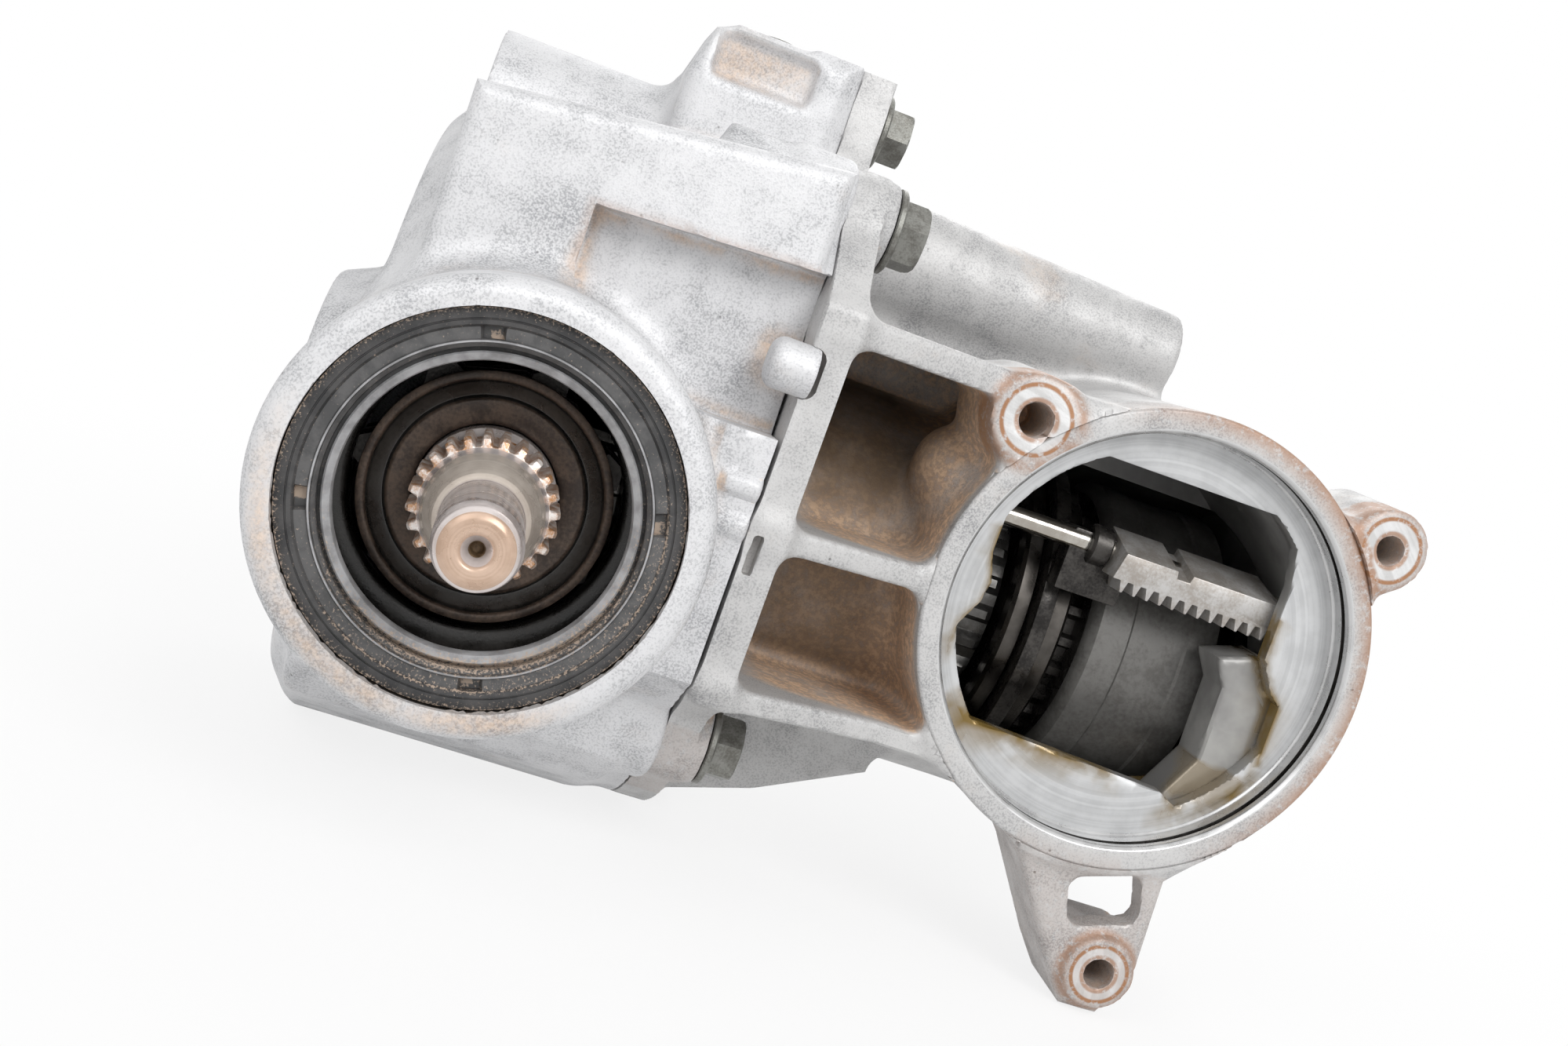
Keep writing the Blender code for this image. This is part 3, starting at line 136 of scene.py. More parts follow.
def outlineField(u, v, corners):
    # least distance to the sides of a closed outline, negative where a ray crosses it an odd number of times
    best = None
    odd = None
    for (u0, v0), (u1, v1) in zip(corners, corners[1:] + corners[:1]):
        alongU, alongV = u1 - u0, v1 - v0
        fromU, fromV = u - u0, v - v0
        share = np.clip((fromU * alongU + fromV * alongV) / (alongU ** 2 + alongV ** 2), 0.0, 1.0)
        square = (fromU - alongU * share) ** 2 + (fromV - alongV * share) ** 2
        best = square if best is None else np.minimum(best, square)
        if v0 != v1:
            crosses = ((v0 > v) != (v1 > v)) & (u < alongU * (v - v0) / alongV + u0)
            odd = crosses if odd is None else odd ^ crosses
    return np.sqrt(best) * np.where(odd, -1.0, 1.0)


def blockField(x, y, z, low, high, ease):
    parts = [np.abs(value - (a + b) / 2) - (b - a) / 2 + ease for value, a, b in zip((x, y, z), low, high)]
    outside = np.sqrt(sum(np.maximum(part, 0.0) ** 2 for part in parts))
    return outside + np.minimum(np.maximum(np.maximum(parts[0], parts[1]), parts[2]), 0.0) - ease


def drilled(field, u, v, along, places, radius, low, high):
    # the same round hole at several places
    for place in places:
        field = np.maximum(field, -roundBar(u, v, along, place, radius, low, high, 0.2))
    return field


def slopeOf(field, points, step=0.02):
    # the field's direction of growth at each point
    base = field(points[:, 0], points[:, 1], points[:, 2])
    ways = []
    for k in range(3):
        moved = points.copy()
        moved[:, k] += step
        ways.append(field(moved[:, 0], moved[:, 1], moved[:, 2]) - base)
    way = np.stack(ways, 1)
    return way / np.maximum(np.linalg.norm(way, axis=1, keepdims=True), 1e-9), base


def castMesh(name, field, low, high, step, mostTriangles):
    # Dual contouring: a grid samples the field, each cell that the surface crosses gets one corner where
    # the planes of its crossings meet, and each crossed grid edge gets a face over its four cells.
    grid = [np.arange(low[k], high[k] + step, step) for k in range(3)]
    values = field(grid[0][:, None, None], grid[1][None, :, None], grid[2][None, None, :])
    values = np.broadcast_to(values, [len(g) for g in grid])
    count = np.array(values.shape)
    spots, cells, flips = [], [], []
    for k in range(3):
        first = [slice(None)] * 3
        second = [slice(None)] * 3
        first[k] = slice(0, -1)
        second[k] = slice(1, None)
        near, far = values[tuple(first)], values[tuple(second)]
        index = np.argwhere((near < 0) != (far < 0))
        u, v = (k + 1) % 3, (k + 2) % 3
        index = index[(index[:, u] > 0) & (index[:, v] > 0)]
        a = near[tuple(index.T)].astype(float)
        b = far[tuple(index.T)].astype(float)
        spot = np.stack([grid[m][index[:, m]] for m in range(3)], 1)
        start, reach = spot[:, k].copy(), np.full(len(a), step)
        for _ in range(3):
            spot[:, k] = start + reach * a / (a - b)
            middle = field(spot[:, 0], spot[:, 1], spot[:, 2])
            same = (middle < 0) == (a < 0)
            whereTo = spot[:, k]
            end = start + reach
            start = np.where(same, whereTo, start)
            reach = np.where(same, end - whereTo, whereTo - start)
            a = np.where(same, middle, a)
            b = np.where(same, b, middle)
            steady = np.abs(a - b) < 1e-6
            a = np.where(steady, -1e-6, a)
            b = np.where(steady, 1e-6, b)
        spots.append(spot)
        around = []
        for du, dv in ((0, 0), (-1, 0), (-1, -1), (0, -1)):
            cell = index.copy()
            cell[:, u] += du
            cell[:, v] += dv
            around.append((cell[:, 0] * count[1] + cell[:, 1]) * count[2] + cell[:, 2])
        cells.append(np.stack(around, 1))
        flips.append(values[tuple(index.T)] >= 0)
    spots, cells, flips = np.concatenate(spots), np.concatenate(cells), np.concatenate(flips)
    slopes, _ = slopeOf(field, spots)
    used, faces = np.unique(cells, return_inverse=True)
    faces = faces.reshape(-1, 4)
    owner = faces.ravel()
    ways, ends = np.repeat(slopes, 4, 0), np.repeat(spots, 4, 0)
    shares = np.bincount(owner)
    middle = np.stack([np.bincount(owner, ends[:, k]) for k in range(3)], 1) / shares[:, None]
    plane = (ways * (ends - middle[owner])).sum(1)
    hold = 0.06
    matrix = np.zeros((len(used), 3, 3))
    right = np.zeros((len(used), 3))
    for k in range(3):
        right[:, k] = np.bincount(owner, ways[:, k] * plane)
        for m in range(3):
            matrix[:, k, m] = np.bincount(owner, ways[:, k] * ways[:, m])
        matrix[:, k, k] += hold
    corners = middle + np.linalg.solve(matrix, right[:, :, None])[:, :, 0]
    cellIndex = np.stack(np.unravel_index(used, count), 1)
    cellLow = np.stack([grid[k][cellIndex[:, k]] for k in range(3)], 1)
    corners = np.clip(corners, cellLow, cellLow + step)
    faces[flips] = faces[flips][:, ::-1]
    mesh = makeMesh(name, corners, faces)
    return thinned(mesh, mostTriangles)


def thinned(mesh, mostTriangles):
    # takes corners out of flat stretches until the mesh has about this many triangles
    piece = bpy.data.objects.new("thinning", mesh)
    bpy.context.scene.collection.objects.link(piece)
    step = piece.modifiers.new("thin", "DECIMATE")
    step.ratio = min(1.0, mostTriangles / (2.0 * len(mesh.polygons)))
    seen = piece.evaluated_get(bpy.context.evaluated_depsgraph_get())
    result = bpy.data.meshes.new_from_object(seen)
    result.name = mesh.name
    bpy.data.objects.remove(piece)
    bpy.data.meshes.remove(mesh)
    return result


def localArrays(mesh):
    # corners and their normals, in local millimetres
    co = np.zeros(len(mesh.vertices) * 3, np.float32)
    mesh.vertices.foreach_get("co", co)
    normal = np.zeros(len(mesh.vertices) * 3, np.float32)
    mesh.vertices.foreach_get("normal", normal)
    return co.reshape(-1, 3).astype(float) * 1000.0 - sealFace, normal.reshape(-1, 3).astype(float)


def markSurface(mesh, field, marks):
    # "cavity" is how closed in a spot is and "rim" how exposed; marks adds values worked out from x, y, z
    points, normals = localArrays(mesh)
    cavity = np.zeros(len(points))
    for reach in (3.0, 8.0):
        out = points + normals * reach
        cavity += 0.5 * np.clip(1.0 - field(out[:, 0], out[:, 1], out[:, 2]) / reach, 0.0, 1.0)
    deep = points - normals * 1.2
    rim = np.clip(1.0 + field(deep[:, 0], deep[:, 1], deep[:, 2]) / 1.2, 0.0, 1.0)
    values = {"cavity": cavity, "rim": rim}
    marked = marks(*points.T)
    values["cavity"] = cavity * (1.0 - marked.pop("clean"))
    for label, value in marked.items():
        values[label] = np.maximum(values[label], value) if label in values else value
    for label, value in values.items():
        putValues(mesh, label, value)


def putValues(mesh, label, values):
    # one number for each corner, which the finishes read by its label
    mesh.attributes.new(label, "FLOAT", "POINT").data.foreach_set("value", values.astype(np.float32))


def faceMiddles(mesh):
    # the middle of each face, in local millimetres
    centre = np.zeros(len(mesh.polygons) * 3, np.float32)
    mesh.polygons.foreach_get("center", centre)
    return centre.reshape(-1, 3) * 1000.0 - sealFace


def setFinish(mesh, finish):
    # which of the piece's materials each face takes
    mesh.polygons.foreach_set("material_index", finish.astype(np.int32))


# Rings: closed surfaces from circles or toothed circles set along an axis.
def roundCorners(points, ease, steps=3):
    # each corner of a (radius, along) outline becomes a short curve, except where it touches the axis
    count = len(points)
    result = []
    for i, point in enumerate(points):
        here = np.array(point, float)
        before, after = np.array(points[i - 1], float), np.array(points[(i + 1) % count], float)
        if here[0] <= 0:
            result.append(tuple(here))
            continue
        a = here + (before - here) * min(0.45, ease / max(np.linalg.norm(before - here), 1e-6))
        b = here + (after - here) * min(0.45, ease / max(np.linalg.norm(after - here), 1e-6))
        for t in np.linspace(0, 1, steps + 1):
            result.append(tuple(a * (1 - t) ** 2 + here * 2 * t * (1 - t) + b * t ** 2))
    return result


def ringPoints(rings, axis, place, sides):
    # a ring is a radius and its place along the axis; either may be one value for each angle
    angle = 2 * np.pi * np.arange(sides) / sides
    radii = np.stack([np.broadcast_to(radius, sides) for radius, _ in rings])
    along = np.stack([np.broadcast_to(spot, sides) for _, spot in rings])
    across = {"x": (1, 2, 0), "y": (0, 2, 1), "z": (0, 1, 2)}[axis]
    points = np.zeros((*radii.shape, 3))
    points[..., across[0]] = radii * np.cos(angle)
    points[..., across[1]] = radii * np.sin(angle)
    points[..., across[2]] = along
    return points + np.array(place, float)


def ringFaces(ringCount, sides, closed=True, start=0):
    last = ringCount if closed else ringCount - 1
    i = np.arange(last)[:, None]
    j = np.arange(sides)[None, :]
    nextI, nextJ = (i + 1) % ringCount, (j + 1) % sides
    quads = np.stack([i * sides + j, i * sides + nextJ, nextI * sides + nextJ, nextI * sides + j], -1)
    return quads.reshape(-1, 4) + start


def ringMesh(name, parts, sharpDegrees=32):
    # each part is (rings, axis, place, sides), closed on itself or at the axis
    points, faces, start = [], [], 0
    for rings, axis, place, sides in parts:
        corners = ringPoints(rings, axis, place, sides)
        faces.append(ringFaces(len(rings), sides, start=start))
        points.append(corners.reshape(-1, 3))
        start += corners.shape[0] * sides
    mesh = makeMesh(name, np.concatenate(points), *faces)
    tidyMesh(mesh, sharpDegrees)
    return mesh


def toothRadii(sides, teeth, root, tip, rootHalf, tipHalf, phase=0.0):
    # radius at each angle: root, a straight flank, tip; halves are shares of the pitch
    turn = np.arange(sides) / sides * teeth - phase
    off = np.abs(turn - np.round(turn))
    share = np.clip((rootHalf - off) / (rootHalf - tipHalf), 0.0, 1.0)
    return root + (tip - root) * share


def hexRadii(sides, flats, most):
    # a hexagon's radius at each angle, no larger than the chamfer's circle
    angle = 2 * np.pi * np.arange(sides) / sides
    fold = np.abs(np.mod(angle + math.pi / 6, math.pi / 3) - math.pi / 6)
    return np.minimum(flats / 2 / np.cos(fold), most)


def slabMesh(name, parts, bevel, sharpDegrees=32, slant=None):
    # each part is (outline, axis, low, high): a closed outline pushed along an axis, its edges bevelled;
    # slant (y, z, drop) lowers the corners of the front face above z
    shape = bmesh.new()
    for outline, axis, low, high in parts:
        index = "xyz".index(axis)
        rows = []
        for along in (low, high):
            spots = np.insert(np.array(outline, float), index, along, axis=1)
            if slant and along == slant[0]:
                spots[:, 2] -= slant[2] * (spots[:, 2] > slant[1])
            rows.append([shape.verts.new(spot) for spot in toWorld(spots)])
        count = len(outline)
        shape.faces.new(rows[0])
        shape.faces.new(rows[1][::-1])
        for i in range(count):
            shape.faces.new((rows[0][i], rows[1][i], rows[1][(i + 1) % count], rows[0][(i + 1) % count]))
    bmesh.ops.recalc_face_normals(shape, faces=shape.faces)
    if bevel:
        sharp = [edge for edge in shape.edges if edge.calc_face_angle(0.0) > math.radians(25)]
        bmesh.ops.bevel(shape, geom=sharp, offset=bevel / 1000.0, segments=2, profile=0.5, affect="EDGES",
                        clamp_overlap=True)
    mesh = bpy.data.meshes.new(name)
    shape.to_mesh(mesh)
    shape.free()
    mesh.shade_smooth()
    mesh.set_sharp_from_angle(angle=math.radians(sharpDegrees))
    return mesh


# Finishes.
def feed(tree, socket, value):
    # links a socket to another one, or sets its value
    if isinstance(value, bpy.types.NodeSocket):
        tree.links.new(value, socket)
    else:
        socket.default_value = value


def makeNode(tree, kind, settings=None, **inputs):
    # a node with its settings; inputs are named with _ for a space, or i0, i1 by their place
    node = tree.nodes.new(kind)
    for label, value in (settings or {}).items():
        setattr(node, label, value)
    for label, value in inputs.items():
        byPlace = label[0] == "i" and label[1:].isdigit()
        key = int(label[1:]) if byPlace else label.replace("_", " ")
        feed(tree, node.inputs[key], value)
    return node


def noise(tree, vector, scale, detail=4.0, rough=0.55):
    return makeNode(tree, "ShaderNodeTexNoise", None, Vector=vector, Scale=scale, Detail=detail,
                    Roughness=rough).outputs["Fac"]


def span(tree, value, low, high, start=0.0, end=1.0):
    # the value's stretch from low to high, eased and set between start and end
    return makeNode(tree, "ShaderNodeMapRange", {"interpolation_type": "SMOOTHSTEP"}, Value=value,
                    From_Min=low, From_Max=high, To_Min=start, To_Max=end).outputs["Result"]


def sums(tree, operation, a, b):
    return makeNode(tree, "ShaderNodeMath", {"operation": operation}, i0=a, i1=b).outputs[0]


def blendColour(tree, share, a, b, kind="MIX"):
    mix = makeNode(tree, "ShaderNodeMix", {"data_type": "RGBA", "blend_type": kind})
    for index, value in ((0, share), (6, a), (7, b)):
        feed(tree, mix.inputs[index], value)
    return mix.outputs[2]


def makeGroup(name, inputs, outputs):
    group = bpy.data.node_groups.new(name, "ShaderNodeTree")
    for label, kind, value in inputs:
        socket = group.interface.new_socket(label, in_out="INPUT", socket_type="NodeSocket" + kind)
        if value is not None:
            socket.default_value = value
    for label, kind in outputs:
        group.interface.new_socket(label, in_out="OUTPUT", socket_type="NodeSocket" + kind)
    return group, group.nodes.new("NodeGroupInput").outputs, group.nodes.new("NodeGroupOutput").inputs


def castGrainGroup():
    # sand-cast skin: soft broad patches, fine grey specks that gather in the patches, and a sandy height
    group, given, result = makeGroup("castGrain", [
        ("Vector", "Vector", None), ("Light", "Color", (0.62, 0.61, 0.6, 1)),
        ("Dark", "Color", (0.25, 0.26, 0.28, 1)), ("Specks", "Float", 0.5)],
        [("Color", "Color"), ("Rough", "Float"), ("Height", "Float")])
    vector = given["Vector"]
    patch = noise(group, vector, 38.0, 4.0, 0.55)
    cloud = noise(group, vector, 130.0, 4.0, 0.6)
    grain = noise(group, vector, 2500.0, 2.0, 0.6)
    fine = noise(group, vector, 900.0, 3.0, 0.6)
    gathered = sums(group, "ADD", span(group, patch, 0.36, 0.68, 0.0, 0.55),
                    span(group, cloud, 0.4, 0.7, 0.05, 0.5))
    gathered = sums(group, "MULTIPLY", gathered, given["Specks"])
    level = sums(group, "ADD", grain, sums(group, "MULTIPLY", gathered, 0.13))
    speck = sums(group, "MULTIPLY", span(group, level, 0.48, 0.72), sums(group, "ADD", gathered, 0.35))
    tone = blendColour(group, sums(group, "MULTIPLY", gathered, 0.22), given["Light"], given["Dark"])
    tone = blendColour(group, sums(group, "MULTIPLY", speck, 0.52), tone, given["Dark"])
    spots = makeNode(group, "ShaderNodeTexVoronoi", None, Vector=vector, Scale=300.0).outputs["Distance"]
    pit = sums(group, "MULTIPLY", span(group, spots, 0.05, 0.11, 1.0, 0.0), span(group, cloud, 0.5, 0.62))
    tone = blendColour(group, sums(group, "MULTIPLY", pit, 0.7), tone, (0.1, 0.09, 0.085, 1))
    group.links.new(tone, result["Color"])
    group.links.new(span(group, cloud, 0.3, 0.7, 0.45, 0.62), result["Rough"])
    height = sums(group, "ADD", sums(group, "MULTIPLY", grain, 0.5), sums(group, "MULTIPLY", fine, 0.6))
    height = sums(group, "SUBTRACT", height, sums(group, "MULTIPLY", pit, 0.8))
    group.links.new(height, result["Height"])
    return group


def dirtAndShadeGroup():
    # road dust: it fills closed-in places, breaks up with noise and thins out on exposed rims; it also lays
    # painted shade, dark brown, where the mesh's shade values are high
    group, given, result = makeGroup("roadDirtAndShade", [
        ("Vector", "Vector", None), ("Color", "Color", (0.6, 0.6, 0.6, 1)), ("Cavity", "Float", 0.0),
        ("Rim", "Float", 0.0), ("Rust", "Float", 0.0), ("Soot", "Float", 0.0), ("Amount", "Float", 0.5)],
        [("Color", "Color"), ("Mask", "Float")])
    vector = given["Vector"]
    broad = noise(group, vector, 50.0, 5.0, 0.6)
    crumbs = noise(group, vector, 700.0, 5.0, 0.7)
    closed = span(group, given["Cavity"], 0.3, 0.8)
    patchy = sums(group, "MULTIPLY", closed, span(group, broad, 0.3, 0.55, 0.25, 1.0))
    dusty = span(group, broad, 0.58, 0.76, 0.0, 0.2)
    dust = sums(group, "MULTIPLY", sums(group, "ADD", patchy, dusty), given["Amount"])
    dust = sums(group, "MULTIPLY", dust, span(group, crumbs, 0.3, 0.6, 0.5, 1.0))
    tan = blendColour(group, span(group, crumbs, 0.4, 0.62), (0.46, 0.3, 0.19, 1), (0.76, 0.55, 0.38, 1))
    tone = blendColour(group, dust, given["Color"], tan)
    # painted shade: dark brown where the mesh's shade values are high, eased by broad noise
    shadeShare = sums(group, "MULTIPLY", given["Soot"], span(group, broad, 0.3, 0.6, 0.75, 1.0))
    tone = blendColour(group, shadeShare, tone, (0.11, 0.075, 0.045, 1))
    rusty = sums(group, "MULTIPLY", given["Rust"], span(group, crumbs, 0.32, 0.5, 0.15, 1.0))
    tone = blendColour(group, rusty, tone, (0.34, 0.17, 0.085, 1))
    worn = sums(group, "MULTIPLY", span(group, given["Rim"], 0.3, 0.75),
                span(group, broad, 0.35, 0.6, 0.05, 0.4))
    tone = blendColour(group, worn, tone, (0.76, 0.755, 0.75, 1))
    group.links.new(tone, result["Color"])
    group.links.new(dust, result["Mask"])
    return group


def brushGroup():
    # tool marks: fine rings round an axis through the vector's zero, with a faint mottling
    group, given, result = makeGroup("toolMarks", [
        ("Vector", "Vector", None), ("Mottle Vector", "Vector", None), ("Light", "Color", (0.8, 0.8, 0.8, 1)),
        ("Dark", "Color", (0.5, 0.5, 0.5, 1)), ("Lines", "Float", 900.0)],
        [("Color", "Color"), ("Rough", "Float"), ("Height", "Float")])
    radius = makeNode(group, "ShaderNodeVectorMath", {"operation": "LENGTH"},
                      i0=given["Vector"]).outputs["Value"]
    lines = makeNode(group, "ShaderNodeTexNoise", {"noise_dimensions": "1D"}, W=radius, Scale=given["Lines"],
                     Detail=3.0, Roughness=0.7).outputs["Fac"]
    mottle = noise(group, given["Mottle Vector"], 160.0, 5.0, 0.6)
    mixed = sums(group, "ADD", sums(group, "MULTIPLY", lines, 0.5), sums(group, "MULTIPLY", mottle, 0.5))
    group.links.new(blendColour(group, span(group, mixed, 0.36, 0.62), given["Dark"], given["Light"]),
                    result["Color"])
    group.links.new(span(group, mottle, 0.3, 0.7, 0.2, 0.42), result["Rough"])
    group.links.new(lines, result["Height"])
    return group


def spotFaceGroup():
    # a faced boss seen along Y: a bright disc, and rust round its rim and at the edge of its hole
    group, given, result = makeGroup("spotFace", [
        ("Vector", "Vector", None), ("Centre", "Vector", None), ("Disc", "Float", 0.0065),
        ("Hole", "Float", 0.0034)],
        [("Face", "Float"), ("Rust", "Float")])
    away = makeNode(group, "ShaderNodeVectorMath", {"operation": "SUBTRACT"}, i0=given["Vector"],
                    i1=given["Centre"]).outputs["Vector"]
    parts = makeNode(group, "ShaderNodeSeparateXYZ", None, Vector=away).outputs
    flat = makeNode(group, "ShaderNodeCombineXYZ", None, X=parts["X"], Z=parts["Z"]).outputs["Vector"]
    radius = makeNode(group, "ShaderNodeVectorMath", {"operation": "LENGTH"}, i0=flat).outputs["Value"]
    front = span(group, parts["Y"], 0.0004, 0.0012, 1.0, 0.0)
    inDisc = sums(group, "LESS_THAN", radius, given["Disc"])
    group.links.new(sums(group, "MULTIPLY", inDisc, front), result["Face"])
    fromRim = sums(group, "ABSOLUTE", sums(group, "SUBTRACT", radius, given["Disc"]), 0.0)
    fromHole = sums(group, "ABSOLUTE", sums(group, "SUBTRACT", radius, given["Hole"]), 0.0)
    rings = sums(group, "MAXIMUM", span(group, fromRim, 0.0002, 0.0007, 1.0, 0.0),
                 span(group, fromHole, 0.0002, 0.0008, 0.8, 0.0))
    group.links.new(sums(group, "MULTIPLY", rings, span(group, parts["Y"], 0.001, 0.006, 1.0, 0.0)),
                    result["Rust"])
    return group


castGrain = castGrainGroup()
roadDirtAndShade = dirtAndShadeGroup()
toolMarks = brushGroup()
spotFace = spotFaceGroup()


def startLook(name, metallic, **sockets):
    look = bpy.data.materials.new(name)
    look.use_nodes = True
    shader = look.node_tree.nodes["Principled BSDF"]
    shader.inputs["Metallic"].default_value = metallic
    for label, value in sockets.items():
        shader.inputs[label.replace("_", " ")].default_value = value
    spot = look.node_tree.nodes.new("ShaderNodeTexCoord").outputs["Object"]
    return look, look.node_tree, shader, spot


def useGroup(tree, group, **inputs):
    node = tree.nodes.new("ShaderNodeGroup")
    node.node_tree = group
    for label, value in inputs.items():
        feed(tree, node.inputs[label.replace("_", " ")], value)
    return node.outputs


def bump(tree, shader, height, strength, distance):
    node = makeNode(tree, "ShaderNodeBump", None, Strength=strength, Distance=distance, Height=height)
    tree.links.new(node.outputs["Normal"], shader.inputs["Normal"])


def attribute(tree, name):
    node = tree.nodes.new("ShaderNodeAttribute")
    node.attribute_name = name
    return node.outputs["Fac"]


def castLook(name, light, dark, specks, dirt, faces=()):
    # cast skin under dust and painted shade; faces lists machined bosses as (x, y, z, disc radius, hole
    # radius)
    look, tree, shader, spot = startLook(name, 0.25)
    grain = useGroup(tree, castGrain, Vector=spot, Light=(*light, 1), Dark=(*dark, 1), Specks=specks)
    colour, rough = grain["Color"], grain["Rough"]
    rust = attribute(tree, "rust")
    for x, y, z, disc, hole in faces:
        boss = useGroup(tree, spotFace, Vector=spot, Centre=tuple(toWorld((x, y, z))), Disc=disc / 1000.0,
                        Hole=hole / 1000.0)
        bright = useGroup(tree, toolMarks, Vector=spot, Mottle_Vector=spot, Light=(0.66, 0.66, 0.66, 1),
                          Dark=(0.52, 0.515, 0.51, 1), Lines=300.0)
        colour = blendColour(tree, boss["Face"], colour, bright["Color"])
        rust = sums(tree, "MAXIMUM", rust, boss["Rust"])
    dust = useGroup(tree, roadDirtAndShade, Vector=spot, Color=colour, Cavity=attribute(tree, "cavity"),
                    Rim=attribute(tree, "rim"), Rust=rust, Soot=attribute(tree, "painted_shade"), Amount=dirt)
    tree.links.new(dust["Color"], shader.inputs["Base Color"])
    rough = sums(tree, "ADD", rough, sums(tree, "MULTIPLY", dust["Mask"], 0.3))
    tree.links.new(rough, shader.inputs["Roughness"])
    bump(tree, shader, grain["Height"], 0.3, 0.0003)
    return look


def chamberLook(name, light, dark, faced=None):
    # oily casting: smooth grey with drips of yellow-brown oil where the "oil" attribute is high; faced gives
    # the (x, y, z) up to which the metal is turned bright, round an axis along Y
    look, tree, shader, spot = startLook(name, 0.35)
    broad = noise(tree, spot, 60.0, 4.0, 0.55)
    crumbs = noise(tree, spot, 800.0, 3.0, 0.6)
    tone = blendColour(tree, span(tree, broad, 0.35, 0.65), (*dark, 1), (*light, 1))
    if faced:
        centre = toWorld(faced)
        away = makeNode(tree, "ShaderNodeVectorMath", {"operation": "SUBTRACT"}, i0=spot,
                        i1=centre).outputs["Vector"]
        flat = makeNode(tree, "ShaderNodeVectorMath", {"operation": "MULTIPLY"}, i0=away,
                        i1=(1, 0, 1)).outputs["Vector"]
        marks = useGroup(tree, toolMarks, Vector=flat, Mottle_Vector=spot, Light=(0.58, 0.585, 0.59, 1),
                         Dark=(0.46, 0.465, 0.47, 1), Lines=500.0)
        depth = makeNode(tree, "ShaderNodeSeparateXYZ", None, Vector=away).outputs["Y"]
        tone = blendColour(tree, span(tree, depth, -0.0001, 0.0001, 1.0, 0.0), tone, marks["Color"])
    film = sums(tree, "MULTIPLY", attribute(tree, "oil"), span(tree, broad, 0.36, 0.56))
    tone = blendColour(tree, film, tone, (0.2, 0.13, 0.035, 1))
    # near-black painted shade where the mesh's shade values are high
    tone = blendColour(tree, attribute(tree, "painted_shade"), tone, (0.045, 0.042, 0.04, 1))
    tree.links.new(tone, shader.inputs["Base Color"])
    tree.links.new(span(tree, film, 0.0, 1.0, 0.42, 0.12), shader.inputs["Roughness"])
    bump(tree, shader, crumbs, 0.12, 0.0002)
    return look


def turnedLook(name, centre, light, dark, metallic=1.0, lines=900.0, flat=(1, 1, 1)):
    # a machined face: rings round a centre, given in local millimetres; flat drops the axis they turn round
    look, tree, shader, spot = startLook(name, metallic)
    place = tree.nodes.new("ShaderNodeMapping")
    place.vector_type = "TEXTURE"
    place.inputs["Location"].default_value = toWorld(centre)
    tree.links.new(spot, place.inputs["Vector"])
    level = makeNode(tree, "ShaderNodeVectorMath", {"operation": "MULTIPLY"}, i0=place.outputs["Vector"],
                     i1=flat)
    marks = useGroup(tree, toolMarks, Vector=level.outputs["Vector"], Mottle_Vector=spot, Light=(*light, 1),
                     Dark=(*dark, 1), Lines=lines)
    tree.links.new(marks["Color"], shader.inputs["Base Color"])
    tree.links.new(marks["Rough"], shader.inputs["Roughness"])
    bump(tree, shader, marks["Height"], 0.15, 0.0002)
    return look


def oilyLook(name, light, dark, metallic, roughLow, roughHigh, scale=180.0):
    # a plain worn metal or rubber: mottled between two colours, with fine grain
    look, tree, shader, spot = startLook(name, metallic)
    mottle = noise(tree, spot, scale, 6.0, 0.62)
    grain = noise(tree, spot, scale * 9.0, 3.0, 0.6)
    mixed = sums(tree, "ADD", sums(tree, "MULTIPLY", mottle, 0.65), sums(tree, "MULTIPLY", grain, 0.35))
    tree.links.new(blendColour(tree, span(tree, mixed, 0.38, 0.62), (*dark, 1), (*light, 1)),
                   shader.inputs["Base Color"])
    tree.links.new(span(tree, mottle, 0.3, 0.7, roughLow, roughHigh), shader.inputs["Roughness"])
    bump(tree, shader, grain, 0.2, 0.0002)
    return look


def rubberLook(name, light, dark):
    # black rubber with pale dust that sits where the "dust" attribute is high
    look, tree, shader, spot = startLook(name, 0.0)
    mottle = noise(tree, spot, 260.0, 5.0, 0.6)
    grit = noise(tree, spot, 2200.0, 3.0, 0.65)
    tone = blendColour(tree, span(tree, mottle, 0.36, 0.64), (*dark, 1), (*light, 1))
    level = sums(tree, "ADD", grit, sums(tree, "MULTIPLY", attribute(tree, "dust"), 0.3))
    tone = blendColour(tree, span(tree, level, 0.66, 0.82), tone, (0.42, 0.33, 0.26, 1))
    tree.links.new(tone, shader.inputs["Base Color"])
    tree.links.new(span(tree, mottle, 0.3, 0.7, 0.4, 0.6), shader.inputs["Roughness"])
    bump(tree, shader, grit, 0.15, 0.0002)
    return look


